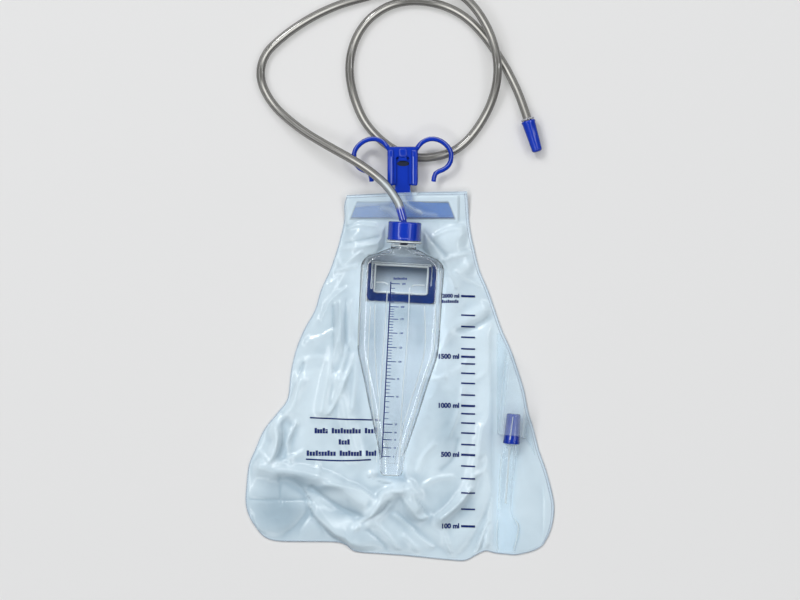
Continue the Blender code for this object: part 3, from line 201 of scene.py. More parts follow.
# Chamber, as in the solid model: height on the axis, half width, half depth, height of the middle
CHAMBER_AT = (1.6, 60.1, 7.0)
CHAMBER_TURN = math.radians(-3.15)
CHAMBER_LEAN = math.radians(1.3)
CHAMBER_STATIONS = [
    (-171.0, 9.6, 7.0, 7.0), (-150.9, 11.6, 7.8, 7.8), (-133.3, 16.5, 8.7, 8.7),
    (-115.0, 21.6, 9.7, 9.7), (-93.0, 27.0, 11.0, 11.0), (-67.0, 34.2, 12.7, 12.7),
    (-60.0, 35.3, 13.0, 13.0), (-44.0, 35.7, 13.0, 13.0), (-10.7, 36.0, 13.0, 13.0),
    (11.0, 36.3, 13.0, 13.0), (15.5, 34.6, 13.0, 13.0), (18.4, 31.2, 12.8, 13.0),
    (23.5, 19.5, 12.0, 13.0),
]
CHAMBER_MIDDLE = 13.0
CHAMBER_WALL = 1.2
CHAMBER_CORNER = 9.0
# The raised column on its front: ends, half width, and half width of its arms and their foot
COLUMN_FOOT = -160.0
COLUMN_HEAD = 13.5
COLUMN_STEM = 8.0
COLUMN_ARM = 25.0
COLUMN_ARM_FOOT = -3.7
COLUMN_RISE = 1.0
COLUMN_SLOPE = 1.2
# Its rounded foot: how much its end is narrower, and over what length
FOOT_INSET = 2.4
FOOT_REACH = 3.6
# Heights of more sections at the column's steps and along the rounded foot
COLUMN_RINGS = [-160.01, -159.4, -4.9, -3.69, 12.9, 13.49, 13.51]
FOOT_RINGS = [-167.2, -168.8, -170.0, -170.7]
# Neck: half width under which a section is round, bore and its ends, and rings of height and
# radius
NECK_HALF = 20.2
NECK_BORE = 9.8
BORE_ENDS = (27.5, 48.0)
NECK_RINGS = [
    (27.2, 11.3), (28.4, 11.0), (31.9, 11.0), (32.0, 14.7), (32.4, 15.2), (33.8, 15.2),
    (34.2, 14.7), (34.21, 12.2), (45.2, 12.2), (45.6, 11.8),
]
# The port behind it, its spout and the band of the clamp frame round it
PORT_SIZE = (46.0, 24.6)
PORT_WALL = 1.2
SPOUT_REACH = 5.6
CLAMP_BAND = 7.2

# Centre line of the inlet tube, as in the solid model, from the spigot to the connector's barb
TUBE_ROUTE = [
    (2.921, 111.941, 21.18), (0.162, 121.655, 21.396),
    (-2.0, 127.8, 21.3), (-10.4, 140.2, 20.6), (-20.6, 150.0, 19.8), (-30.9, 157.8, 19.0),
    (-43.3, 165.6, 18.2), (-62.2, 176.3, 15.0), (-80.6, 187.4, 10.6), (-95.4, 198.4, 6.8),
    (-107.3, 209.4, 4.6), (-115.9, 221.1, 3.9), (-120.9, 233.1, 3.9), (-121.6, 244.1, 3.9),
    (-118.6, 254.3, 3.9), (-111.9, 263.7, 3.9), (-95.4, 277.6, 3.9), (-75.1, 290.4, 3.9),
    (-52.9, 300.4, 3.9), (-29.0, 307.4, 3.9), (-4.0, 314.0, 4.0), (18.0, 318.6, 4.6),
    (38.0, 316.4, 6.2), (54.6, 307.6, 8.6), (65.6, 296.6, 10.6), (74.5, 282.8, 11.8),
    (80.8, 268.1, 12.1), (84.6, 251.6, 12.1), (84.6, 234.9, 11.0), (80.8, 218.3, 7.6),
    (74.3, 203.6, 4.8), (65.3, 189.6, 3.9), (55.9, 179.2, 3.9), (45.4, 172.1, 3.9),
    (33.2, 168.2, 3.9), (19.8, 166.8, 3.9), (6.3, 168.9, 3.9), (-7.2, 175.2, 3.9),
    (-19.8, 185.2, 3.9), (-30.9, 198.5, 3.9), (-38.4, 214.6, 3.9), (-42.9, 231.3, 3.9),
    (-44.1, 246.4, 3.9), (-41.9, 261.2, 3.9), (-36.2, 275.4, 3.9), (-26.4, 288.2, 3.9),
    (-12.4, 298.0, 3.9), (3.4, 303.0, 3.9), (19.2, 303.4, 3.9), (35.4, 300.3, 3.9),
    (50.2, 293.9, 3.9), (63.1, 284.4, 3.9), (74.5, 271.9, 3.9), (84.4, 258.1, 3.9),
    (92.0, 246.1, 3.9), (97.9, 234.9, 4.2), (102.6, 224.8, 4.8), (106.3, 215.2, 5.5),
    (109.4, 206.4, 6.1), (111.1, 201.2, 6.4),
]
TUBE_END_TURN = -163
# Lengths of its start that grip the spigot and that lie over the bag
SPIGOT_LENGTH = 11 * MM
TUBE_OVER_BAG = 34 * MM
# Painted brightness of the tube from its middle line to its sides, with a painted highlight line
# and darker sides: where it runs straight up or across the picture, where it runs aslant and
# shows its bright line, where it lies over the bag, and how much of the spigot's blue gives way
# to painted highlight lines where it grips it
TUBE_PLAIN = [(0.0, 0.16), (0.12, 0.15), (0.35, 0.12), (0.6, 0.055), (0.85, 0.035), (1.0, 0.08)]
TUBE_BRIGHT = [
    (0.0, 0.95), (0.009, 0.85), (0.024, 0.2), (0.15, 0.08), (0.26, 0.3), (0.38, 0.24),
    (0.58, 0.02), (0.85, 0.02), (1.0, 0.12),
]
TUBE_CLEAR = [
    (0.0, 0.95), (0.015, 0.9), (0.04, 0.42), (0.18, 0.3), (0.32, 0.46), (0.42, 0.2), (0.52, 0.02),
    (0.85, 0.02), (1.0, 0.15),
]
TUBE_GRIP = [(0.0, 0.0), (0.012, 0.0), (0.03, 0.7), (0.045, 0.7), (0.075, 0.0), (1.0, 0.0)]
TUBE_CLEAR_TINT = (0.84, 0.94, 1.05)
TUBE_GRIP_LIGHT = (0.8, 0.86, 1.0, 1)
# What straight light keeps behind the tube, the sleeve and the clear plastic
TUBE_SHADOW = (0.8, 0.8, 0.79)
SLEEVE_SHADOW = (0.96, 0.97, 0.98)
CLEAR_SHADOW = 0.93
# Colour of the painted shade on the back film in the port's well, and colours and opacities
# of thin lines: painted highlights, painted dark lines and the weld's beads
WELL_SHADE = (0.045, 0.08, 0.14)
EDGE_FINISHES = [
    ("painted_blue_highlight", (0.3, 0.38, 0.9), 0.75), ("painted_dark_edge", (0.10, 0.13, 0.16), 0.5),
    ("weld_bead", (0.5, 0.55, 0.72), 0.22),
]
# Finish and rounding in mm of the solids that show
SOLID_FINISHES = {
    "port_clamp_frame": ("blue_frame", 0.5), "inlet_connector": ("glossy_blue", 0.4),
    "hanger_bar": ("blue_bar", 0.5), "hook_yoke": ("glossy_blue", 0.6),
    "cap_gasket": ("soft_seal", 0), "nonreturn_valve": ("soft_seal", 0),
}
# From the frame of the neck's turned parts in mm, whose axis is Z, to their place on the table
NECK_FRAME = (
    Matrix.Translation(CHAMBER_AT) @ Matrix.Rotation(CHAMBER_TURN, 4, "Z")
    @ Matrix.Rotation(CHAMBER_LEAN, 4, "X") @ Matrix.Translation((0, 0, CHAMBER_MIDDLE))
    @ Matrix.Rotation(math.radians(-90), 4, "X")
)

# Prints in drawing units
BAG_TICKS = [
    (296, "2000 ml"), (315, ""), (326.4, ""), (337, ""), (348.6, ""), (356.5, "1500 ml"),
    (363.5, ""), (373, ""), (383, ""), (394.7, ""), (405.5, "1000 ml"), (413.4, ""),
    (422.7, ""), (432.7, ""), (444.2, ""), (454.4, "500 ml"), (465.6, ""), (478, ""),
    (492.3, ""), (508.7, ""), (525.8, "100 ml"),
]
CHAMBER_MAJORS = [
    (283.7, "250"), (306.5, "200"), (318.7, "175"), (332.5, "150"), (346.8, "125"),
    (360.8, "100"), (378.0, "75"), (395.5, "50"), (423.0, "25"), (431.2, "20"), (438.5, "15"),
    (446.6, "10"), (455.3, "5"),
]
# Lesser ticks of the chamber between its marks of 50 and 25, and the scale's upright line
LOW_MINORS = [400.6, 406.0, 411.5, 417.6]
SPINE = [(391.0, 282.0), (381.9, 457.0)]
# How high the bag's ticks, other prints on the film and those on the chamber lie in mm, how
# thick they are, and the step between the points of their bars
TICK_LIFT = 0.38
FILM_LIFT = 0.10
CHAMBER_LIFT = 0.05
PRINT_DEPTH = 0.06 * MM
PRINT_STEP = 0.7 * MM
# The bag's ticks: places across, widths in mm with and without a number, and where numbers end
TICK_SPAN = (461, 468, 475)
TICK_WIDE = 1.9
TICK_NARROW = 1.35
NUMBER_END = 459.2
RULE_WIDTH = 1.3
# The chamber's scale: widths of its line and ticks in mm, lengths of the ticks, and figures
SPINE_WIDTH = 1.0
MAJOR_WIDTH = 0.75
MINOR_WIDTH = 0.6
MAJOR_LENGTH = 9
MINOR_LENGTH = 4.5
FIGURE_SIZE = 2.1 * MM

# Painted highlight lines where the chamber's front catches the light, in drawing units
CHAMBER_LINES = [
    [(375.0, 304.5), (375.0, 330), (375.3, 352), (378.4, 396)],
    [(424.2, 306), (424.9, 344), (419.4, 372), (410.4, 401), (402.7, 427), (399.8, 455)],
    [(370.8, 306), (369, 340), (368.4, 362), (370.5, 388), (375.2, 426)],
    [(435.2, 304), (434.0, 345), (426.2, 373.4), (418.0, 401), (410.2, 426.8), (402.2, 455)],
    [(387.4, 291), (385.6, 322), (383.6, 349), (381.0, 384), (377.8, 430), (376.6, 462)],
    [(409.4, 288), (408.0, 322), (406.4, 349), (403.2, 384), (400.6, 430), (398.6, 468)],
    [(376.7, 282.4), (384, 282.6), (388.2, 284.6)],
    [(411.6, 286.8), (414.4, 285.4), (424.2, 285.5)],
    [(381, 473.4), (390, 474.6), (398, 474.2)],
    [(363.6, 268), (361.4, 292), (359.4, 322), (358.6, 345)],
    [(440.0, 271), (440.0, 300), (439.2, 330)],
]

# Widths and crowns in mm of the painted highlight lines on the chamber, the hooks and the plug
# and of the weld's beads, and crowns of the painted highlight lines round the port and along the
# sleeve
CHAMBER_LINE = (0.95, 0.25)
HOOK_LINE = (0.8, 0.12)
PLUG_GLINT = (0.9, 0.2)
WELD_BEAD = (0.85, 0.25)
RIM_CROWN = 0.3
SLEEVE_GLINT_CROWN = 0.2

# Painted dark lines along the chamber's outline, where its sides are seen side on: first station,
# width and crown in mm, then how far inside the outline they run and the place in mm where they
# end on the neck
OUTLINE_BARS = [(1, 0.75, 0.1), (9, 1.25, 0.35)]
OUTLINE_INSET = 0.8
OUTLINE_END = (12.0, 26.6)

# Beads of the weld: side of the bag as in a patch, and inset from its edge in mm
WELD_LINES = [(0, 0.5), (1, 0.5), (2, 0.5), (3, 0.5), (3, 2.4), (1, 2.4)]

# Painted highlight rim round the port, in the chamber's frame in mm, with each line's width
PORT_LOOPS = [
    ([(-23.6, -11.4), (22.2, -11.4), (22.2, 12.2), (-23.6, 12.2)], 1.4),
    ([(-26.6, -9.0), (-26.6, 14.2), (24.6, 14.2), (24.6, 13.0), (-25.4, 13.0), (-25.4, -9.0)], 0.8),
]

# Painted highlight lines along the drain's sleeve in drawing units, with each line's width in mm
SLEEVE_LINES = [
    ([(509.2, 447), (507.8, 470), (505.4, 503)], 1.5),
    ([(501.6, 452), (499.8, 478), (498.6, 508)], 0.6),
    ([(497.6, 519), (496.4, 534), (497.2, 550)], 0.7),
    ([(514.4, 518), (518.2, 526), (516.8, 538), (513.6, 550)], 0.8),
]

# Painted highlight line along the plug, in drawing units
PLUG_LINE = [(512.4, 416), (511, 427), (509.4, 439)]

# Beads round the chamber's neck and its collar that carry painted highlights, as small closed
# outlines of radius and height
NECK_BEADS = [
    [(15.1, 32.5), (15.55, 32.8), (15.65, 33.2), (15.45, 33.6), (15.1, 33.7)],
    [(11.0, 29.4), (11.35, 29.6), (11.4, 29.9), (11.25, 30.2), (11.0, 30.3)],
]

# Painted highlight lines along the crests of the hooks, in drawing units
HOOK_LINES = [
    [(418, 147.8), (421.3, 142.1), (426.1, 139.2), (431.9, 138.2), (438.6, 139.5), (444.3, 143),
     (448.6, 147.8), (451, 154), (450.5, 159.8), (447.7, 165.5), (442.4, 169.1), (437.1, 171.2),
     (434.3, 176), (433.8, 180.3)],
    [(386.9, 146.8), (383.5, 141.6), (378.8, 138.9), (373, 138.1), (366.8, 139.5), (361.1, 142.5),
     (356.7, 146.8), (354.4, 152.1), (353.7, 156.9)],
]

# Pads on the hanger in its own frame in mm: middle, half sizes, foot, rise, squareness, finish
HANGER_PADS = [
    ("yoke_rails", [(-10.3, 38.4, 2.9, 15.9, 4.1, 1.7, 8), (10.3, 38.4, 2.9, 15.9, 4.1, 1.7, 8),
                    (0.3, 51.2, 3.9, 4.2, 4.1, 1.1, 3)], "glossy_blue"),
    # Painted highlight lines along the rails
    ("rail_painted_highlights", [(-10.0, 36.4, 0.5, 12.0, 5.6, 0.35, 6), (9.3, 36.4, 0.5, 12.0, 5.6, 0.35, 6)],
     "painted_blue_highlight"),
    ("stem_panel", [(0.0, 30.9, 6.62, 15.0, 1.95, 0.4, 12)], "glossy_blue"),
    # A dark pad: painted shadow in the stem's eye
    ("stem_eye", [(0.4, 41.6, 5.4, 2.6, 2.2, 0.3, 2)], "soft_seal"),
    ("bar_rib", [(0.0, -6.0, 45.2, 0.98, 2.1, 0.85, 12)], "blue_frame"),
]

# Painted shade on the front film in drawing units: middle, reach across and down, and amount.
# A negative amount paints the film lighter.
SHADED_PLACES = [
    (277, 512, 30, 26, 0.95), (300, 478, 24, 9, 0.35), (340, 512, 26, 7, 0.5),
    (322, 488, 26, 5, 0.4), (376, 338, 8, 26, 0.35), (431, 250, 12, 12, 0.45),
    (352, 232, 16, 7, 0.35), (412, 520, 22, 8, 0.35), (446, 500, 14, 22, 0.3),
    (398, 478, 20, 6, 0.55), (288, 440, 6, 16, 0.4), (344, 300, 10, 30, 0.3),
    (492, 400, 8, 40, 0.2), (540, 500, 10, 30, 0.15), (448, 420, 14, 34, 0.35),
    (404, 314, 22, 12, 0.6), (372, 452, 8, 20, 0.3), (420, 330, 6, 26, 0.3),
    (300, 479, 15, 6, 0.3), (318, 490, 15, 6, 0.4), (338, 503, 13, 6, 0.4),
    (360, 536, 30, 10, 0.45), (448, 440, 9, 30, 0.3), (468, 508, 14, 12, 0.3),
    (432, 300, 6, 20, 0.3), (330, 236, 12, 12, 0.15), (318, 388, 16, 26, -0.35),
    (486, 368, 10, 40, -0.35), (452, 240, 12, 20, -0.15),
]

# Brightness of the even light by height above the horizon, from 0 to 1
SKY_LEVELS = [
    (0.0, 0.007), (0.3, 0.014), (0.55, 0.058), (0.72, 0.067), (0.745, 1.0), (0.79, 1.0),
    (0.815, 0.067), (0.93, 0.033), (1.0, 0.013),
]
SKY_TINT = (0.99, 0.995, 1)
# How the light leans to one side, and the level of the plain ground that the camera sees
SKY_LEAN = (-0.35, 0.62, 0)
GROUND_LEVEL = 0.88

# Half the table's width, how far it lies under the bag, and what the lamps point at
FLOOR_HALF = 4.0
FLOOR_DROP = 0.2 * MM
LAMP_AIM = (0, 0.04, 0)
# Lamps: place, size in metres, and watts
LAMPS = [
    ("key_light", (-1.3, 1.9, 2.3), (0.4, 1.2), 20),
    ("side_strip", (2.0, 0.3, 2.2), (0.16, 2.6), 5),
]

# Printed rules, and rows of bars for words between them: height, and each word's two ends
RULES = [[(310, 417.5), (345, 419), (380, 420)], [(306, 459), (340, 460.5), (371, 459.5)]]
WORD_BARS = [
    (431.0, [(314.5, 328), (331.5, 361), (364.5, 377)]),
    (442.2, [(338.5, 350)]),
    (453.5, [(306.5, 336), (339.5, 362), (365.5, 377)]),
]
# The small word by the top mark: its ends, height and size. Its number is smaller too
TOP_WORD = (441.8, 458.6, 301.6, 0.62)
TOP_LABEL_SHARE = 0.78
# Bars for words: step, width, and how far tall and low letters reach up and all reach down
LETTER_STEP = 2.9
LETTER_WIDTH = 2.1
LETTER_TALL = 3.2
LETTER_LOW = 2.0
LETTER_DROP = 2.2

# Turned parts: closed outlines as radius and height in mm
CAP_PROFILE = [
    (4.6, 50.6), (12.9, 50.6), (13.7, 50.4), (14.2, 50.0), (14.45, 49.4), (14.5, 48.6),
    (14.5, 37.0), (14.5, 36.5), (14.75, 36.1), (14.8, 35.6), (14.8, 34.9), (14.5, 34.5),
    (12.9, 34.5), (12.7, 34.8), (12.7, 48.8), (4.6, 48.8),
]
CONNECTOR_CAP_PROFILE = [
    (0, 30.8), (2.2, 30.75), (3.4, 30.45), (4.2, 29.8), (4.65, 28.9), (4.85, 27.6), (6.05, 5.2),
    (6.2, 4.2), (6.2, 3.3), (6.05, 2.6), (5.8, 2.3), (4.3, 2.3), (4.2, 2.5), (3.0, 25.3), (0, 25.3),
]
NOSE_PROFILE = [
    (2.7, 24.8), (2.6, 25.0), (1.5, 25.0), (1.5, -11.0), (2.0, -11.0), (2.35, -10.2),
    (2.7, -9.2), (2.4, -8.8), (2.4, -5.4), (2.7, -4.6), (2.4, -4.2), (2.4, 0.1), (5.2, 0.1),
    (5.8, 0.3), (5.95, 0.8), (5.8, 1.6), (5.2, 1.95), (3.9, 2.0),
]
PLUG_PROFILE = [
    (0, 26.3), (4.9, 26.3), (5.6, 26.1), (6.0, 25.7), (6.15, 25.1), (6.25, 23.0), (7.05, 3.0),
    (7.3, 2.2), (7.4, 1.6), (7.4, 0.3), (7.2, 0.0), (6.0, 0.0), (5.9, 0.2), (5.6, 18.0), (0, 18.0),
]
# Their ribs: count, depth, and the heights that they run between
CAP_RIBS = (30, 0.035, 37.0, 49.0)
CONNECTOR_CAP_RIBS = (6, 0.3, 4.5, 28.0)
PLUG_RIBS = (24, 0.03, 4.0, 24.0)
PLUG_AT = (97.1, -83.0, 9.2)
PLUG_TURN = -4.8
PLUG_RADIUS = 7.4

# Sleeve of the drain: x, y, height, half width, half thickness in mm
SLEEVE_STATIONS = [
    (92.6, -178.3, 2.8, 8.2, 0.9), (92.6, -173.0, 2.9, 8.4, 1.0), (93.2, -167.0, 3.0, 9.2, 1.05),
    (94.2, -160.0, 3.1, 10.2, 1.1), (94.4, -154.5, 3.2, 10.2, 1.2), (93.2, -150.5, 3.6, 8.6, 1.5),
    (91.6, -146.0, 4.3, 6.3, 2.2), (91.6, -135.0, 4.6, 6.2, 2.5), (92.8, -115.0, 4.9, 6.4, 2.8),
    (94.2, -98.0, 5.8, 6.5, 3.3), (95.6, -91.0, 7.4, 6.3, 4.3), (96.6, -86.5, 8.7, 5.8, 5.2),
    (97.1, -83.0, 9.2, 5.3, 5.3), (98.27, -69.05, 9.2, 5.2, 5.2),
]
SLEEVE_WALL = 0.5
# The sleeve lies flat for the first length from its foot and opens over the second, in mm
SLEEVE_FLAT = 20
SLEEVE_OPENING = 16


class FilmSettings(bpy.types.PropertyGroup):
    colour: FloatVectorProperty(
        name="Film colour", description="Pale blue of the film in full light",
        subtype="COLOR", size=3, min=0, max=1, default=(0.775, 0.915, 1.0))
    # The film shade is also the colour of the painted shade in the film's valleys and darker places
    shade: FloatVectorProperty(
        name="Film shade", description="Colour of the cloudier parts of the film",
        subtype="COLOR", size=3, min=0, max=1, default=(0.45, 0.59, 0.69))
    haze: FloatProperty(
        name="Haze", description="How much one face of the slack film hides",
        min=0, max=1, default=0.8)
    wall: FloatProperty(
        name="Film wall", description="Thickness of one film",
        unit="LENGTH", min=0.0001, max=0.001, default=0.3 * MM)
    columns: IntProperty(
        name="Columns", description="Cells across the front film", min=20, max=300, default=200)
    rows: IntProperty(
        name="Rows", description="Cells along the front film", min=20, max=400, default=232)
    crumple: FloatProperty(
        name="Crumple", description="Height of the small irregular wrinkles",
        unit="LENGTH", min=0, max=0.003, default=0.7 * MM)


class PlasticSettings(bpy.types.PropertyGroup):
    blue: FloatVectorProperty(
        name="Blue plastic", description="Colour of the caps, hooks, bar and plug",
        subtype="COLOR", size=3, min=0, max=1, default=(0.005, 0.04, 0.48))
    bar: FloatVectorProperty(
        name="Hanger bar", description="Colour of the bar that is welded into the bag's top",
        subtype="COLOR", size=3, min=0, max=1, default=(0.03, 0.175, 0.56))
    frame: FloatVectorProperty(
        name="Clamp frame", description="Colour of the frame behind the chamber",
        subtype="COLOR", size=3, min=0, max=1, default=(0.001, 0.036, 0.22))
    clear: FloatVectorProperty(
        name="Clear plastic", description="Tint of the chamber and the connector",
        subtype="COLOR", size=3, min=0, max=1, default=(0.945, 0.949, 0.957))
    # Colour of the painted shade towards the sides of the clear parts
    clear_side_shade: FloatVectorProperty(
        name="Clear plastic, side on", description="Tint of the clear parts towards their sides",
        subtype="COLOR", size=3, min=0, max=1, default=(0.42, 0.47, 0.53))
    # Colour of the painted highlight lines and beads
    glint: FloatVectorProperty(
        name="Bright edges", description="Colour of the moulded edges that catch the light",
        subtype="COLOR", size=3, min=0, max=1, default=(0.9, 0.98, 1.0))
    # The seal's colour also paints the shadow in the stem's eye
    seal: FloatVectorProperty(
        name="Seal", description="Colour of the soft seal and the valve",
        subtype="COLOR", size=3, min=0, max=1, default=(0.02, 0.028, 0.055))


class TubeSettings(bpy.types.PropertyGroup):
    colour: FloatVectorProperty(
        name="Tube colour", description="Tint of the soft tube",
        subtype="COLOR", size=3, min=0, max=1, default=(1.0, 0.985, 0.92))
    diameter: FloatProperty(
        name="Tube diameter", description="Outside diameter of the tube",
        unit="LENGTH", min=0.003, max=0.02, default=7.6 * MM)
    bore: FloatProperty(
        name="Tube bore", description="Inside diameter of the tube",
        unit="LENGTH", min=0.001, max=0.015, default=5.5 * MM)


class PrintSettings(bpy.types.PropertyGroup):
    ink: FloatVectorProperty(
        name="Ink", description="Dark blue of the scales and rules",
        subtype="COLOR", size=3, min=0, max=1, default=(0.006, 0.028, 0.23))
    letter: FloatProperty(
        name="Number height", description="Size of the numbers beside the bag's scale",
        unit="LENGTH", min=0.001, max=0.02, default=5.8 * MM)


class StageSettings(bpy.types.PropertyGroup):
    floor: FloatVectorProperty(
        name="Floor", description="Colour of the table and what lies behind",
        subtype="COLOR", size=3, min=0, max=1, default=(0.76, 0.76, 0.76))
    sky: FloatProperty(
        name="Sky", description="Strength of the even light all round", min=0, max=10, default=5.75)
    distance: FloatProperty(
        name="Camera distance", description="Height of the camera above the table",
        unit="LENGTH", min=0.5, max=6, default=3.0)


def drawn(x, y):
    """A place in drawing units as metres on the table."""
    return (x - DRAWING_CENTRE[0]) * UNIT, (DRAWING_CENTRE[1] - y) * UNIT


# Curves and surfaces as arrays

def ease(value):
    value = np.clip(value, 0.0, 1.0)
    return value * value * (3 - 2 * value)


def smooth_path(points, count, per_span=12):
    """Evenly spaced points on a smooth curve through the given ones."""
    spots = np.array(points, float)
    spots = np.vstack([2 * spots[0] - spots[1], spots, 2 * spots[-1] - spots[-2]])
    t = (np.arange(per_span) / per_span)[:, None]
    fine = []
    for a, b, c, d in zip(spots, spots[1:], spots[2:], spots[3:]):
        fine.append(0.5 * (2 * b + (c - a) * t + (2 * a - 5 * b + 4 * c - d) * t ** 2
                           + (3 * b - a - 3 * c + d) * t ** 3))
    fine = np.vstack([*fine, spots[-2]])
    reached = np.concatenate([[0.0], np.cumsum(np.linalg.norm(np.diff(fine, axis=0), axis=1))])
    wanted = np.linspace(0, reached[-1], count)
    return np.stack([np.interp(wanted, reached, column) for column in fine.T], axis=1)


def from_line(x, y, line):
    """Distance of places from a line, and whether they lie to its left."""
    best = np.full(np.shape(x), np.inf)
    left = np.zeros(np.shape(x), bool)
    for (ax, ay), (bx, by) in zip(line, line[1:]):
        dx, dy = bx - ax, by - ay
        t = np.clip(((x - ax) * dx + (y - ay) * dy) / (dx * dx + dy * dy), 0.0, 1.0)
        away = np.hypot(x - ax - t * dx, y - ay - t * dy)
        nearer = away < best
        best = np.where(nearer, away, best)
        left = np.where(nearer, dx * (y - ay) - dy * (x - ax) > 0, left)
    return best, left


class Patch:
    """A surface between four sides, each read from left to right or from bottom to top."""

    def __init__(self, bottom, top, left, right):
        self.sides = [smooth_path(np.array(s) * MM, 400) for s in (bottom, top, left, right)]

    def side(self, k, share):
        line = self.sides[k]
        steps = np.linspace(0, 1, len(line))
        return np.stack([np.interp(share, steps, line[:, 0]), np.interp(share, steps, line[:, 1])])

    def at(self, u, v):
        low, high = self.side(0, u), self.side(1, u)
        near, far = self.side(2, v), self.side(3, v)
        corners = [self.side(k, np.full_like(u, e)) for k, e in ((0, 0), (0, 1), (1, 0), (1, 1))]
        mixed = (corners[0] * (1 - u) * (1 - v) + corners[1] * u * (1 - v)
                 + corners[2] * (1 - u) * v + corners[3] * u * v)
        return low * (1 - v) + high * v + near * (1 - u) + far * u - mixed

    def inset(self, u, v):
        across = np.linalg.norm(self.side(3, v) - self.side(2, v), axis=0)
        along = np.linalg.norm(self.side(1, u) - self.side(0, u), axis=0)
        return np.minimum.reduce([u * across, (1 - u) * across, v * along, (1 - v) * along])


# Heights of the films, with the sizes of the solid model

HANGER_AT = (2.3, 120.75, 2.1343)
HANGER = (HANGER_AT[0] * MM, HANGER_AT[1] * MM)
HANGER_LEAN = math.radians(10)
BAR_FLOOR = 0.9 * MM
BAR_HALF_HEIGHT = 7.0 * MM
BAR_FOOT_HALF = 46.0 * MM
BAR_TOP_HALF = 40.4 * MM
BAR_COVER = 2.8 * MM
STEM_HALF = 6.5 * MM
FILM_LOW = 0.2 * MM
FILM_AIR = 2.0 * MM
FILM_RIM = 16.0 * MM
FOLD_INSET = 9.0 * MM
POCKET_FLOOR = 1.3 * MM
# Where the front film lies low for the pocket: its sides, and the height where it ends
POCKET_SIDES = (81 * MM, 125 * MM)
POCKET_HEAD = 25 * MM
# The pocket's tent over the plug: half width, slope at its sides, and where it falls off above
TENT_HALF = 7.8 * MM
TENT_SLOPE = 4.4 * MM
TENT_END = -35.7 * MM
TENT_FALL = 42 * MM
# Half sizes of the port's well as its shade shows it
WELL_HALF = (24.5 * MM, 13.5 * MM)
# How much higher creases stand than their table says, and how the cells crowd towards edges
CREASE_RISE = 1.55
EDGE_CROWDING = 0.35
# Cells across and along the two plainer films
BACK_CELLS = (120, 150)
POCKET_CELLS = (60, 110)
# How much the film hides where it is drawn tight: left and right of the bar, and over the frame
BAR_HAZE = (0.27, 0.11)
FRAME_HEAD_HAZE = 0.36


def bar_floor(y):
    return BAR_FLOOR + math.tan(HANGER_LEAN) * (y - HANGER[1] + BAR_HALF_HEIGHT)


def back_height(y):
    return np.maximum(FILM_LOW, bar_floor(y) - TOUCH - FILM_LOW)


def chamber_place(x, y):
    """Places on the table in the chamber's frame, seen from above."""
    dx, dy = x - CHAMBER_AT[0] * MM, y - CHAMBER_AT[1] * MM
    c, s = math.cos(CHAMBER_TURN), math.sin(CHAMBER_TURN)
    return dx * c + dy * s, dy * c - dx * s


def chamber_back(x, y):
    return CHAMBER_AT[2] * MM + math.tan(CHAMBER_LEAN) * chamber_place(x, y)[1]


def under_chamber(x, y):
    """The highest that the front film may reach, so that the chamber lies on it."""
    across, along = chamber_place(x, y)
    stations = np.array([(s[0], s[1]) for s in CHAMBER_STATIONS] + [(27.5, 14.8)]) * MM
    half = np.interp(along, stations[:, 0], stations[:, 1])
    past_frame = along - (PORT_SIZE[1] / 2 + CLAMP_BAND + 1) * MM
    drop = ease(past_frame / (8 * MM)) * 3.0 * MM
    beyond = np.maximum.reduce([np.zeros_like(along), np.abs(across) - half - 2 * MM,
                                stations[0, 0] - along - 2 * MM, along - 57.6 * MM])
    return chamber_back(x, y) - drop - TOUCH - FILM_LOW + 0.7 * beyond


def over_frame(x, y):
    across, along = chamber_place(x, y)
    past = np.maximum(np.abs(across) - (PORT_SIZE[0] / 2 + CLAMP_BAND + 8) * MM,
                      np.abs(along) - (PORT_SIZE[1] / 2 + CLAMP_BAND + 11) * MM)
    return ease(1 - past / (26 * MM))


def over_bar(x, y):
    side = np.abs(x - HANGER[0])
    foot, head = HANGER[1] - BAR_HALF_HEIGHT, HANGER[1] + BAR_HALF_HEIGHT
    along = ease((y - foot + 9 * MM) / (5 * MM)) * ease((head + 8.4 * MM - y) / (4 * MM))
    bar = ease((BAR_FOOT_HALF + 5.6 * MM - side) / (4.4 * MM)) * along
    stem = ease((STEM_HALF + 10 * MM - side) / (5 * MM)) * ease((y - foot) / (5 * MM))
    return np.maximum(bar, stem)


def folds(x, y, table, sharpness):
    total = np.zeros_like(x)
    for rise, left_width, right_width, line in table:
        places = np.array([drawn(*p) for p in line]) / MM
        path = smooth_path(places, 3 * len(line)) if len(line) > 2 else places
        away, left = from_line(x / MM, y / MM, path)
        width = np.where(left, left_width, right_width)
        total += rise * MM * np.exp(-((away / width) ** sharpness))
    return total


def wrinkle_noise(x, y):
    """Ridged, slightly bent noise between -1 and 1, read cell by cell."""
    out = np.empty(x.size)
    for k, (a, b) in enumerate(zip(x.ravel(), y.ravel())):
        bend = noise.noise((a * 16, b * 16, 3.7)) * 0.5
        broad = 1 - 2 * abs(noise.noise((a * 38 + bend, b * 30 - bend, 1.3)))
        fine = 1 - 2 * abs(noise.noise((a * 95 - bend, b * 80 + bend, 8.1)))
        out[k] = 0.72 * broad + 0.28 * fine
    return out.reshape(x.shape)


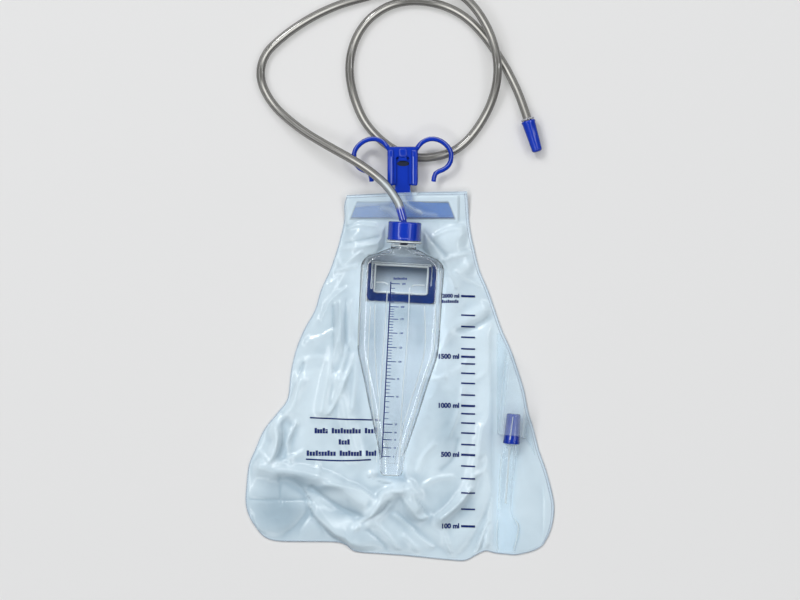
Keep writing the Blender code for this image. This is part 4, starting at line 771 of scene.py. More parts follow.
def front_height(x, y, inset, crumple):
    floor = back_height(y) + 2 * FILM_LOW + TOUCH
    soft = ease(inset / FILM_RIM)
    pleats = ease(inset / FOLD_INSET)
    z = floor + FILM_AIR * soft + folds(x, y, BROAD_FOLDS, 1.7) * pleats
    flat = chamber_back(x, y) - TOUCH - FILM_LOW
    weight = over_frame(x, y) * soft
    z = z * (1 - weight) + flat * weight
    detail = CREASE_RISE * folds(x, y, CREASES, 1.2) + crumple * wrinkle_noise(x, y)
    z = z + detail * pleats
    z = np.minimum(z, under_chamber(x, y))
    pocket = np.maximum.reduce([np.zeros_like(x), POCKET_SIDES[0] - x, x - POCKET_SIDES[1]])
    z = np.where(y < POCKET_HEAD, np.minimum(z, POCKET_FLOOR + 0.5 * pocket), z)
    cover = bar_floor(y) + BAR_COVER + TOUCH + FILM_LOW
    z = np.maximum(z, floor)
    z = np.maximum(z, floor + (cover - floor) * over_bar(x, y))
    return z + folds(x, y, BAR_WRINKLES, 1.6)


def haze_at(x, y, slack):
    """How much one face of the front film hides: less where it is drawn tight over a part."""
    haze = np.full_like(x, slack)
    side = np.abs(x - HANGER[0])
    rise = (y - HANGER[1]) / (2 * BAR_HALF_HEIGHT) + 0.5
    reach = BAR_FOOT_HALF + (BAR_TOP_HALF - BAR_FOOT_HALF) * rise
    on_bar = ease((reach + 1 * MM - side) / (2 * MM))
    on_bar *= ease((BAR_HALF_HEIGHT + 1.6 * MM - np.abs(y - HANGER[1])) / (1.4 * MM))
    on_stem = ease((STEM_HALF + 6 * MM - side) / (5 * MM)) * ease((y - HANGER[1]) / (3 * MM))
    haze = haze + (np.where(x < HANGER[0], *BAR_HAZE) - haze) * on_bar
    haze = haze + (BAR_HAZE[0] - haze) * on_stem * (1 - on_bar)
    across, along = chamber_place(x, y)
    on_frame = ease(((PORT_SIZE[0] / 2 + CLAMP_BAND + 2) * MM - np.abs(across)) / (2 * MM))
    on_frame *= ease(((PORT_SIZE[1] / 2 + CLAMP_BAND + 2) * MM - np.abs(along)) / (2 * MM))
    on_head = ease((along - (PORT_SIZE[1] / 2 + 0.5) * MM) / (1.5 * MM))
    haze = haze + (FRAME_HEAD_HAZE * on_head - haze) * on_frame
    return np.clip(haze + 0.3 * folds(x, y, BAR_WRINKLES, 1.6) / MM, 0.0, 1.0)


# Node groups and materials

WHITE = (1, 1, 1, 1)


def feed(tree, socket, value):
    """Links an output to a socket, or sets the socket's own value."""
    if isinstance(value, bpy.types.NodeSocket):
        tree.links.new(value, socket)
    else:
        socket.default_value = value


def node(tree, kind, sockets=(), **settings):
    """A node with its settings and with its sockets, by name or number, fed with their values."""
    made = tree.nodes.new(kind)
    for name, value in settings.items():
        setattr(made, name, value)
    for key, value in dict(sockets).items():
        feed(tree, made.inputs[key], value)
    return made


def maths(tree, operation, *values, **settings):
    return node(tree, "ShaderNodeMath", enumerate(values), operation=operation, **settings).outputs[0]


def blended(tree, factor, low, high, how="MIX"):
    """A mix of two colours, where each may be a socket or a value."""
    mix = node(tree, "ShaderNodeMix", {"Factor": factor, "A": low, "B": high}, data_type="RGBA",
               blend_type=how)
    return mix.outputs["Result"]


def about(tree, source, middle, reach):
    """middle + (source - 0.5) * reach, where each may be a socket or a value."""
    return maths(tree, "MULTIPLY_ADD", maths(tree, "SUBTRACT", source, 0.5), reach, middle)


def facing_of(tree, blend):
    return node(tree, "ShaderNodeLayerWeight", {"Blend": blend}).outputs["Facing"]


def mark_of(tree, name):
    """A value that the mesh carries at each point."""
    return node(tree, "ShaderNodeAttribute", attribute_name=name).outputs["Fac"]


def ramp_of(tree, factor, stops, tint=(1, 1, 1)):
    """The colour of a ramp of grey levels, each taken times a tint."""
    ramp = node(tree, "ShaderNodeValToRGB", {"Fac": factor})
    for spot, level in stops[1:-1]:
        ramp.color_ramp.elements.new(spot)
    for stop, (spot, level) in zip(ramp.color_ramp.elements, stops):
        stop.position = spot
        stop.color = (*(level * share for share in tint), 1)
    return ramp.outputs["Color"]


def noise_of(tree, scale, detail, distortion=0.0):
    """The value of a noise texture over the object's own space."""
    place = node(tree, "ShaderNodeTexCoord")
    cloud = node(tree, "ShaderNodeTexNoise", {
        "Vector": place.outputs["Object"], "Scale": scale, "Detail": detail,
        "Distortion": distortion})
    return cloud.outputs["Fac"]


def shader_group(name, inputs, outputs):
    """A new node group's tree, and what it is given and what it puts out as seen from inside."""
    tree = bpy.data.node_groups.new(name, "ShaderNodeTree")
    for label, value in inputs.items():
        kind = "NodeSocketColor" if value == WHITE else "NodeSocketFloat"
        tree.interface.new_socket(label, in_out="INPUT", socket_type=kind).default_value = value
    for label in outputs:
        kind = "NodeSocketColor" if label == "Colour" else "NodeSocketFloat"
        tree.interface.new_socket(label, in_out="OUTPUT", socket_type=kind)
    return tree, node(tree, "NodeGroupInput").outputs, node(tree, "NodeGroupOutput").inputs


def moulded_group():
    """Slight changes of tone and gloss, and a fine grain, on moulded plastic."""
    tree, given, result = shader_group(
        "moulded_plastic",
        {"Colour": WHITE, "Tone Change": 0.1, "Roughness": 0.25, "Gloss Change": 0.1,
         "Grain Size": 900.0},
        ("Colour", "Roughness", "Height"))
    tone = about(tree, noise_of(tree, 55.0, 3.0), 1.0, given["Tone Change"])
    tone = node(tree, "ShaderNodeHueSaturation", {"Value": tone, "Color": given["Colour"]})
    smear = noise_of(tree, 130.0, 4.0, 0.6)
    feed(tree, result["Colour"], tone.outputs["Color"])
    feed(tree, result["Roughness"], about(tree, smear, given["Roughness"], given["Gloss Change"]))
    feed(tree, result["Height"], noise_of(tree, given["Grain Size"], 2.0))


def film_group():
    """Cloudiness, small creases and uneven gloss of a soft clear film, and painted shade from its
    Shade Mask.
    """
    tree, given, result = shader_group(
        "soft_film",
        {"Colour": WHITE, "Shade": WHITE, "Haze": 0.6, "Haze Change": 0.1, "Roughness": 0.25,
         "Cloud": 0.4, "Shade Mask": 0.0},
        ("Colour", "Haze", "Roughness", "Height"))
    tones = node(tree, "ShaderNodeMapRange", {
        "Value": noise_of(tree, 14.0, 4.0, 0.8), "From Min": 0.38, "From Max": 0.68})
    shaded = maths(tree, "MULTIPLY_ADD", tones.outputs["Result"], given["Cloud"],
                   given["Shade Mask"], use_clamp=True)
    veil = noise_of(tree, 42.0, 3.0)
    feed(tree, result["Colour"], blended(tree, shaded, given["Colour"], given["Shade"]))
    feed(tree, result["Haze"], about(tree, veil, given["Haze"], given["Haze Change"]))
    feed(tree, result["Roughness"], about(tree, veil, given["Roughness"], 0.14))
    feed(tree, result["Height"], noise_of(tree, 75.0, 3.0, 1.2))


def new_material(name, **sockets):
    """The node tree and the shader of a new material, whose own sockets are given by name."""
    made = bpy.data.materials.new(name)
    made.use_nodes = True
    shader = made.node_tree.nodes["Principled BSDF"]
    for label, value in sockets.items():
        shader.inputs[label.replace("_", " ")].default_value = value
    return made.node_tree, shader


def skinned(tree, shader, group, depth, strength, **values):
    """Takes a shader's colour, roughness and fine relief from a node group."""
    skin = node(tree, "ShaderNodeGroup", node_tree=bpy.data.node_groups[group])
    for label, value in values.items():
        feed(tree, skin.inputs[label.replace("_", " ")], value)
    bump = node(tree, "ShaderNodeBump", {
        "Strength": strength, "Distance": depth, "Height": skin.outputs["Height"]})
    feed(tree, shader.inputs["Base Color"], skin.outputs["Colour"])
    feed(tree, shader.inputs["Roughness"], skin.outputs["Roughness"])
    feed(tree, shader.inputs["Normal"], bump.outputs["Normal"])
    return skin


def pass_shadows(tree, shader, colour):
    """Lets straight light for shadows through, so that what lies under the part stays light."""
    path = node(tree, "ShaderNodeLightPath")
    through = node(tree, "ShaderNodeBsdfTransparent", {"Color": (*colour, 1)})
    mix = node(tree, "ShaderNodeMixShader", {
        "Fac": path.outputs["Is Shadow Ray"], 1: shader.outputs["BSDF"],
        2: through.outputs["BSDF"]})
    feed(tree, tree.nodes["Material Output"].inputs["Surface"], mix.outputs["Shader"])


def painted_side_shade(tree, shader, colour, blend):
    """Painted shade: turns the shader's colour towards a darker one where it is seen side on."""
    base = shader.inputs["Base Color"]
    feed(tree, base, blended(tree, facing_of(tree, blend), base.links[0].from_socket, (*colour, 1)))


def moulded_material(name, colour, roughness, tone=0.12, grain=1400.0, depth=0.00002, gloss=0.1,
                     **sockets):
    """Moulded plastic. It gives back the node tree and the shader of the material."""
    tree, shader = new_material(name, **sockets)
    skinned(tree, shader, "moulded_plastic", depth, 0.5, Colour=(*colour, 1), Roughness=roughness,
            Tone_Change=tone, Gloss_Change=gloss, Grain_Size=grain)
    return tree, shader


def clear_material(name, look, roughness, ior):
    """Clear plastic with painted shade towards its sides."""
    tree, shader = moulded_material(name, look.clear, roughness, tone=0.03, grain=60.0,
                                    depth=0.00001, gloss=0.02, Transmission_Weight=1.0, IOR=ior)
    painted_side_shade(tree, shader, look.clear_side_shade, 0.2)
    pass_shadows(tree, shader, [CLEAR_SHADOW * c for c in look.clear])


def film_material(name, haze=None, cloud=0.3, shade=None, roughness=0.15, blend=0.25, shadow=None):
    """Soft film. Without a haze of its own it reads the marks "haze" and "shade" of its mesh; "shade"
    is its painted shade.
    """
    look = bpy.context.scene.bag_film
    tree, shader = new_material(name, IOR=1.5)
    skin = skinned(tree, shader, "soft_film", 0.0005, 0.3, Colour=(*look.colour, 1),
                   Shade=(*(shade or look.shade), 1), Haze_Change=0.12, Roughness=roughness,
                   Cloud=cloud, Haze=mark_of(tree, "haze") if haze is None else haze)
    if haze is None:
        feed(tree, skin.inputs["Shade Mask"], mark_of(tree, "shade"))
    feed(tree, shader.inputs["Alpha"],
         maths(tree, "MAXIMUM", skin.outputs["Haze"], facing_of(tree, blend)))
    if shadow:
        pass_shadows(tree, shader, shadow)


def tube_material(colour, blue):
    """Soft clear tube, whose bright line and darker sides are painted by the angle it is seen at.
    Where it grips the spigot its wall magnifies the blue plastic inside, with two painted highlight
    lines.
    """
    tree, shader = new_material("soft_tube", IOR=1.7, Coat_Weight=0.6)
    facing = facing_of(tree, 0.5)
    level = blended(tree, mark_of(tree, "glint"), ramp_of(tree, facing, TUBE_PLAIN),
                    ramp_of(tree, facing, TUBE_BRIGHT))
    level = blended(tree, mark_of(tree, "near_bag"), level,
                    ramp_of(tree, facing, TUBE_CLEAR, TUBE_CLEAR_TINT))
    tinted = blended(tree, 1.0, level, (*colour, 1), "MULTIPLY")
    gripped = blended(tree, ramp_of(tree, facing, TUBE_GRIP), (*blue, 1), TUBE_GRIP_LIGHT)
    skinned(tree, shader, "moulded_plastic", 0.00002, 0.3, Tone_Change=0.12, Roughness=0.09,
            Gloss_Change=0.06, Grain_Size=200.0,
            Colour=blended(tree, mark_of(tree, "grip"), tinted, gripped))
    feed(tree, shader.inputs["Alpha"], maths(tree, "MAXIMUM", mark_of(tree, "haze"), facing))
    pass_shadows(tree, shader, TUBE_SHADOW)


def make_materials():
    scene = bpy.context.scene
    plastic = scene.bag_plastic
    moulded_group()
    film_group()
    film_material("film_front")
    # The back film's shade colour is the painted shade in the port's well
    film_material("film_back", cloud=0.0, shade=WELL_SHADE)
    film_material("film_pocket", cloud=0.1)
    film_material("film_sleeve", haze=0.1, cloud=0.0, roughness=0.08, blend=0.3,
                  shadow=SLEEVE_SHADOW)
    for name, share in (("glossy_blue", 1.0), ("plug_blue", 0.75)):
        colour = [share * c for c in plastic.blue]
        tree, shader = moulded_material(name, colour, 0.13, gloss=0.05, IOR=1.5)
        # Painted shade on the sides of the blue parts
        painted_side_shade(tree, shader, [0.3 * c for c in colour], 0.35)
    moulded_material("blue_bar", plastic.bar, 0.35, IOR=1.5)
    moulded_material("blue_frame", plastic.frame, 0.3, IOR=1.5, Specular_IOR_Level=0.3)
    moulded_material("soft_seal", plastic.seal, 0.55, tone=0.2, grain=2500.0,
                     Specular_IOR_Level=0.12)
    moulded_material("print_ink", scene.bag_print.ink, 0.45, tone=0.25, grain=3000.0)
    clear_material("clear_chamber", plastic, 0.02, 1.47)
    clear_material("clear_connector", plastic, 0.05, 1.45)
    # Materials of the painted highlight lines and beads, the painted dark lines and the weld's beads
    for name, colour, alpha in (("painted_highlight", plastic.glint, 0.78), *EDGE_FINISHES):
        tree, shader = moulded_material(name, colour, 0.2, tone=0.08, grain=300.0, IOR=1.5)
        shader.inputs["Alpha"].default_value = alpha
    tube_material(scene.bag_tube.colour, plastic.blue)


# Meshes

def linked(name, data):
    """A new object over some data, linked to the scene."""
    item = bpy.data.objects.new(name, data)
    bpy.context.scene.collection.objects.link(item)
    return item


def piece(name, data, finish, body="bag"):
    """Links a finished mesh that rides on a body and takes its finish from a slot."""
    item = linked(name, data)
    data.materials.clear()
    data.materials.append(bpy.data.materials[finish])
    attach(item, body)
    return item


def mesh_of(shape, name):
    data = bpy.data.meshes.new(name)
    shape.to_mesh(data)
    shape.free()
    return data


def mesh_from(name, places, faces):
    data = bpy.data.meshes.new(name)
    data.from_pydata([tuple(p) for p in places], [], faces)
    data.validate()
    return data


def grid_faces(columns, rows):
    wide = columns + 1
    return [(j * wide + i, j * wide + i + 1, (j + 1) * wide + i + 1, (j + 1) * wide + i)
            for j in range(rows) for i in range(columns)]


def smoothed(data, degrees):
    """Smooth shading, apart from edges that are sharper than an angle."""
    data.shade_smooth()
    data.set_sharp_from_angle(angle=math.radians(degrees))
    return data


def finished(data, modifiers, name):
    """The mesh after some modifiers, given as (kind, {setting: value})."""
    item = linked("workpiece", data)
    for kind, values in modifiers:
        made = item.modifiers.new(kind.title(), kind)
        for label, value in values.items():
            setattr(made, label, value)
    bpy.context.view_layer.update()
    graph = bpy.context.evaluated_depsgraph_get()
    result = bpy.data.meshes.new_from_object(item.evaluated_get(graph))
    bpy.data.objects.remove(item, do_unlink=True)
    result.name = name
    return result


def loft_data(name, rings, smooth=35.0, capped=True):
    """A closed skin over rings of equally many points."""
    shape = bmesh.new()
    rows = [[shape.verts.new(p) for p in ring] for ring in rings]
    for lower, upper in zip(rows, rows[1:]):
        for a, b, c, d in zip(lower, lower[1:] + lower[:1], upper[1:] + upper[:1], upper):
            shape.faces.new((a, b, c, d))
    if capped:
        shape.faces.new(rows[0][::-1])
        shape.faces.new(rows[-1])
    bmesh.ops.remove_doubles(shape, verts=shape.verts, dist=WELD)
    bmesh.ops.recalc_face_normals(shape, faces=shape.faces)
    return smoothed(mesh_of(shape, name), smooth)


def turned_data(name, profile, matrix, steps=64, ribs=(0, 0, 0, 0)):
    """A turned shape. Its ribs are a count, a depth and the two heights that they run between."""
    count, depth, low, high = ribs
    widest_bore = profile[-2][0]
    turns = [2 * math.pi * k / steps for k in range(steps)]
    rings = []
    for radius, height in profile:
        lowered = depth if low <= height <= high and radius > widest_bore else 0.0
        reaches = [radius - lowered * (0.5 + 0.5 * math.cos(count * a)) for a in turns]
        rings.append([matrix @ Vector((r * math.cos(a), r * math.sin(a), height)) * MM
                      for r, a in zip(reaches, turns)])
    if profile[0][0] > 0:
        rings.append(rings[0])
    return loft_data(name, rings, smooth=50.0, capped=False)


def rounded(value, power):
    return math.copysign(abs(value) ** power, value)


def pads_data(name, pads, matrix):
    """Rounded pads that stand on a face: middle, half sizes, foot, rise and squareness."""
    shape = bmesh.new()
    turns = [2 * math.pi * step / 64 for step in range(64)]
    for x, y, half_x, half_y, foot, rise, square in pads:
        round_off = min(half_x, half_y) * 0.92
        rings = []
        for k in range(9):
            lean = math.radians(86) * k / 8
            inset = round_off * (1 - math.cos(lean))
            rings.append([matrix @ Vector((
                x + (half_x - inset) * rounded(math.cos(turn), 2 / square),
                y + (half_y - inset) * rounded(math.sin(turn), 2 / square),
                foot + rise * math.sin(lean))) * MM for turn in turns])
        shape.from_mesh(loft_data("pad", rings, smooth=50))
    return mesh_of(shape, name)


def axis_matrix(place, turn):
    """From a turned part's own frame in mm, whose axis is Z, to its place on the table in mm."""
    return (Matrix.Translation(place) @ Matrix.Rotation(math.radians(turn), 4, "Z")
            @ Matrix.Rotation(math.radians(-90), 4, "X"))


def chamber_matrix():
    turn = Matrix.Rotation(CHAMBER_TURN, 4, "Z") @ Matrix.Rotation(CHAMBER_LEAN, 4, "X")
    return Matrix.Translation([v * MM for v in CHAMBER_AT]) @ turn


# Films

def cut_port(shape):
    """Cuts the port's hole into the flat grid of the front film."""
    turn = chamber_matrix()
    halves = [PORT_SIZE[k] / 2 * MM + TOUCH for k in (0, 1)]

    def place_of(face):
        return [abs(a) for a in chamber_place(*face.calc_center_median()[:2])]

    for axis, side in ((0, 1), (0, -1), (1, 1), (1, -1)):
        way = Vector([side if k == axis else 0 for k in range(3)])
        near = [f for f in shape.faces if max(place_of(f)) < 30 * MM]
        geometry = near + list({e for f in near for e in f.edges})
        geometry += list({v for f in near for v in f.verts})
        bmesh.ops.bisect_plane(shape, geom=geometry, dist=WELD, plane_co=turn @ (way * halves[axis]),
                               plane_no=turn.to_3x3() @ way)
    inside = [f for f in shape.faces if all(a < half for a, half in zip(place_of(f), halves))]
    bmesh.ops.delete(shape, geom=inside, context="FACES")


def in_valleys(z):
    """How far each place of a grid lies under its neighbourhood."""
    broad = z
    for _ in range(30):
        p = np.pad(broad, 1, mode="edge")
        broad = (p[:-2, 1:-1] + p[2:, 1:-1] + p[1:-1, :-2] + p[1:-1, 2:] + 2 * broad) / 6
    return np.clip((broad - z) / (0.9 * MM), 0.0, 1.0)


# Painted shade of the front film at its darker places
def shade_at(x, y):
    total = np.zeros_like(x)
    for place_x, place_y, across, down, amount in SHADED_PLACES:
        mid_x, mid_y = drawn(place_x, place_y)
        away = ((x - mid_x) / (across * UNIT)) ** 2 + ((y - mid_y) / (down * UNIT)) ** 2
        total += amount * np.exp(-away)
    return total


def well_at(x, y):
    """Painted shade on the back film in the port's deep well, darker towards its upper side."""
    across, along = chamber_place(x, y)
    inside = ease((WELL_HALF[0] - np.abs(across)) / (2.5 * MM))
    inside *= ease((WELL_HALF[1] - np.abs(along)) / (2 * MM))
    return inside * np.clip(0.62 + along / (32 * MM), 0.2, 0.95)


def crowded(cells):
    """Shares from 0 to 1 of one more than the cells, which crowd towards both ends."""
    t = np.linspace(0, 1, cells + 1)
    return t - EDGE_CROWDING * np.sin(2 * np.pi * t) / (2 * np.pi)


def film_data(name, patch, columns, rows, height, haze, shade, wall, port=False):
    """A film of the given wall over a patch, with how much each place hides and its painted shade."""
    u, v = np.meshgrid(crowded(columns), crowded(rows))
    x, y = patch.at(u, v)
    z = height(x, y, patch.inset(u, v))
    places = np.stack([x.ravel(), y.ravel(), z.ravel()], axis=1)
    data = mesh_from(name, places, grid_faces(columns, rows))
    mark = data.attributes.new("shade", "FLOAT", "POINT")
    mark.data.foreach_set("value", shade(x, y, z).astype(np.float32).ravel())
    if port:
        shape = bmesh.new()
        shape.from_mesh(data)
        cut_port(shape)
        shape.to_mesh(data)
        shape.free()
    data.shade_smooth()
    veil = data.attributes.new("haze", "FLOAT", "POINT")
    spots = np.empty(len(data.vertices) * 3)
    data.vertices.foreach_get("co", spots)
    spots = spots.reshape(-1, 3)
    veil.data.foreach_set("value", haze(spots[:, 0], spots[:, 1]).astype(np.float32))
    return finished(data, [("SOLIDIFY", {"thickness": wall, "offset": 0.0})], name)


class BAG_OT_films(bpy.types.Operator):
    """Makes the two welded films of the bag with their folds"""

    bl_idname = "drainage_bag.films"
    bl_label = "Bag films"

    def execute(self, context):
        look = context.scene.bag_film
        patch = Patch(BOTTOM_EDGE, TOP_EDGE, LEFT_EDGE, RIGHT_EDGE)
        front = film_data(
            "front_film_skin", patch, look.columns, look.rows,
            lambda x, y, inset: front_height(x, y, inset, look.crumple),
            lambda x, y: haze_at(x, y, look.haze),
            # Painted shade in the film's valleys and at its darker places
            lambda x, y, z: np.clip(0.55 * in_valleys(z) + shade_at(x, y), -0.35, 1.0),
            look.wall, port=True)
        front = piece("front_film_skin", front, "film_front")
        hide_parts("front_film")
        back = film_data(
            "back_film_skin", patch, *BACK_CELLS, lambda x, y, inset: back_height(y),
            # Painted shade in the port's well, where the back film also hides more
            lambda x, y: 0.7 + 0.3 * (well_at(x, y) > 0.05), lambda x, y, z: well_at(x, y), look.wall)
        back = piece("back_film_skin", back, "film_back")
        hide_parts("back_film")
        return {"FINISHED"}


def pocket_height(x, y, inset):
    """The pocket's film stands like a tent over the plug, with small creases towards its edges."""
    turn = math.radians(PLUG_TURN)
    away = np.abs((x - PLUG_AT[0] * MM) * math.cos(turn) + (y - PLUG_AT[1] * MM) * math.sin(turn))
    side = 1 - ease((away - TENT_HALF) / TENT_SLOPE)
    along = 1 - ease((y - TENT_END) / TENT_FALL)
    base = POCKET_FLOOR + 2 * FILM_LOW + TOUCH
    crown = (PLUG_AT[2] + PLUG_RADIUS + 0.7) * MM
    crease = 0.25 * MM * wrinkle_noise(x * 2.2, y * 1.4) * ease(inset / (4 * MM)) * (1 - side)
    return base + (crown - base) * side * along + np.maximum(crease, -0.2 * MM)


def sleeve_data(name):
    """The soft sleeve: a flat folded foot that opens into the tube under the plug."""
    stations = smooth_path(SLEEVE_STATIONS, 120)
    foot = SLEEVE_STATIONS[0][1]
    turns = [2 * math.pi * k / 48 for k in range(48)]
    skins = []
    for wall in (0.0, SLEEVE_WALL):
        rings = []
        for x, y, z, wide, thick in stations:
            flat = 1 - float(ease((y - foot - SLEEVE_FLAT) / SLEEVE_OPENING))
            ring = []
            for turn in turns:
                side = (wide - wall) * math.cos(turn)
                pleat = 0.3 * flat * math.sin(side * 1.15 + 0.25 * (y - foot)) * min(1, (y - foot) / 4)
                ring.append(Vector((x + side, y, z + pleat + (thick - wall) * math.sin(turn))) * MM)
            rings.append(ring)
        skins.append(rings)
    return loft_data(name, skins[0] + skins[1][::-1] + [skins[0][0]], smooth=50, capped=False)


class BAG_OT_drain(bpy.types.Operator):
    """Makes the drain's pocket, its soft sleeve and the plug"""

    bl_idname = "drainage_bag.drain"
    bl_label = "Drain"

    def execute(self, context):
        look = context.scene.bag_film
        patch = Patch(POCKET_BOTTOM, POCKET_TOP, POCKET_LEFT, POCKET_RIGHT)
        pocket = film_data("drain_pocket_skin", patch, *POCKET_CELLS, pocket_height,
                           # Painted shade in the pocket's valleys
                           lambda x, y: np.full_like(x, 0.1), lambda x, y, z: in_valleys(z) * 0.3,
                           look.wall)
        pocket = piece("drain_pocket_skin", pocket, "film_pocket")
        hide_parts("drain_pocket")
        sleeve = piece("drain_sleeve_skin", sleeve_data("drain_sleeve_skin"), "film_sleeve")
        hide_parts("drain_sleeve")
        plug = turned_data("drain_plug_skin", PLUG_PROFILE, axis_matrix(PLUG_AT, PLUG_TURN), 96,
                           PLUG_RIBS)
        plug = piece("drain_plug_skin", plug, "plug_blue", "plug")
        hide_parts("drain_plug")
        return {"FINISHED"}


# Chamber

def ring_of(along, half, depth, middle, shrink, corner_points=13, slope_points=7):
    """One section of the chamber: a rounded rectangle whose front carries the scale column."""
    half, depth = half - shrink, depth - shrink
    corner = min(max(CHAMBER_CORNER - shrink, 0.0), half, depth)
    if half < NECK_HALF and along > COLUMN_HEAD:
        corner = min(half, depth)
    rise = COLUMN_RISE if COLUMN_FOOT < along < COLUMN_HEAD else 0.0
    column = COLUMN_ARM if along > COLUMN_ARM_FOOT else COLUMN_STEM
    flat_half = half - corner
    column = min(column, flat_half - 0.8) if flat_half > 1.6 else flat_half / 2
    slope = min(COLUMN_SLOPE, (flat_half - column) / 2)
    ring = []
    for quarter, (sx, sz) in enumerate([(1, 1), (-1, 1), (-1, -1), (1, -1)]):
        for k in range(corner_points):
            angle = math.pi / 2 * (quarter + k / (corner_points - 1))
            ring.append((sx * (half - corner) + corner * math.cos(angle),
                         sz * (depth - corner) + corner * math.sin(angle)))
        if quarter == 0:
            steps = [k / (slope_points - 1) for k in range(slope_points)]
            side = [(column + slope * (1 - t), depth + rise * t * t * (3 - 2 * t)) for t in steps]
            ring += side + [(-x, z) for x, z in reversed(side)]
    return [(x * MM, along * MM, (middle + z) * MM) for x, z in ring]


def chamber_rings(shrink=0.0):
    """Sections of the chamber, closer at its foot, its shoulders and the ends of the column."""
    stations = np.array(CHAMBER_STATIONS)
    foot, head = CHAMBER_STATIONS[0][0], CHAMBER_STATIONS[-1][0]
    spots = [*np.arange(-168.0, 10.0, 3.0), *np.arange(10.0, 23.6, 0.75), *COLUMN_RINGS,
             foot + shrink]
    if not shrink:
        spots += FOOT_RINGS
    rings = []
    for along in sorted(set(spots)):
        reach = 3.0 if along < 5 else 1.0
        near = [min(max(along + d * reach, foot), head) for d in (-1, -0.5, 0, 0.5, 1)]
        values = [np.mean([np.interp(a, stations[:, 0], stations[:, k]) for a in near])
                  for k in (1, 2, 3)]
        rounding = 0.0
        if not shrink:
            rounding = FOOT_INSET * max(0.0, 1 - math.sqrt(max(0.0, (along - foot) / FOOT_REACH)))
        rings.append(ring_of(along, *values, shrink + rounding))
    return rings


def circle_of(along, radius):
    return ring_of(along, radius, radius, CHAMBER_MIDDLE, 0.0)


def block_data(name, width, depth, low, high, corner):
    """An upright block in mm with rounded corners."""
    shape = bmesh.new()
    bmesh.ops.create_cube(shape, size=1.0)
    bmesh.ops.scale(shape, vec=(width * MM, depth * MM, (high - low) * MM), verts=shape.verts)
    upright = [e for e in shape.edges
               if abs(e.verts[0].co.z - e.verts[1].co.z) > (high - low) / 2 * MM]
    bmesh.ops.bevel(shape, geom=upright, offset=corner * MM, segments=5, profile=0.5,
                    affect="EDGES")
    bmesh.ops.translate(shape, vec=(0, 0, (low + high) / 2 * MM), verts=shape.verts)
    return mesh_of(shape, name)


def carved(base, steps, name):
    """The mesh after Booleans with other meshes in the same frame."""
    tools = [linked("tool", data) for operation, data in steps]
    made = finished(base, [
        ("BOOLEAN", {"operation": operation, "solver": "EXACT", "object": tool})
        for (operation, data), tool in zip(steps, tools)], name)
    for tool in tools:
        bpy.data.objects.remove(tool, do_unlink=True)
    return made


class BAG_OT_chamber(bpy.types.Operator):
    """Makes the clear measuring chamber with its neck and its rear port"""

    bl_idname = "drainage_bag.chamber"
    bl_label = "Measuring chamber"

    def execute(self, context):
        outer = loft_data("chamber_outer", chamber_rings() + [circle_of(*r) for r in NECK_RINGS])
        inner = chamber_rings(CHAMBER_WALL) + [circle_of(along, NECK_BORE) for along in BORE_ENDS]
        inner = loft_data("chamber_inner", inner)
        spout = block_data("spout", *PORT_SIZE, -SPOUT_REACH, 0.6, 2.5)
        mouth = block_data("mouth", *[size - 2 * PORT_WALL for size in PORT_SIZE],
                           -SPOUT_REACH - 3, 3, 1.3)
        data = carved(outer, [("UNION", spout), ("DIFFERENCE", inner), ("DIFFERENCE", mouth)],
                      "chamber_shell")
        data.transform(chamber_matrix())
        shell = piece("chamber_shell", smoothed(data, 32), "clear_chamber")
        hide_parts("measuring_chamber")
        return {"FINISHED"}


# Inlet tube

def tube_frames(path):
    """Two directions across a path at each point, carried along it without twist."""
    tangents = np.gradient(path, axis=0)
    tangents /= np.linalg.norm(tangents, axis=1)[:, None]
    across = np.cross(tangents[0], (0, 0, 1.0))
    sides = []
    for t in tangents:
        across = across - t * np.dot(across, t)
        across /= np.linalg.norm(across)
        sides.append((across, np.cross(t, across)))
    return sides


def falling(away, start, reach):
    """1 up to the start, and down to 0 over the reach."""
    return 1 - min(max((away - start) / reach, 0.0), 1.0)


def mark_tube(data, path):
    """Marks where the tube grips the spigot, lies on the bag and shows its painted bright line."""
    marks = [data.attributes.new(mark, "FLOAT", "POINT").data
             for mark in ("haze", "glint", "near_bag", "grip")]
    line = KDTree(len(path))
    for k, place in enumerate(path):
        line.insert(place, k)
    line.balance()
    runs = np.gradient(path, axis=0)
    aslant = np.abs(runs[:, 0] * runs[:, 1]) / (runs[:, 0] ** 2 + runs[:, 1] ** 2)
    aslant = ease((aslant - 0.12) / 0.3)
    spigot = Vector(path[0])
    for vertex, haze, glint, near_bag, grip in zip(data.vertices, *marks):
        away = (vertex.co - spigot).length
        grip.value = falling(away, SPIGOT_LENGTH, 0.8 * MM)
        near_bag.value = falling(away, TUBE_OVER_BAG, 12 * MM)
        haze.value = 0.92 - 0.12 * near_bag.value
        glint.value = aslant[line.find(vertex.co)[1]]


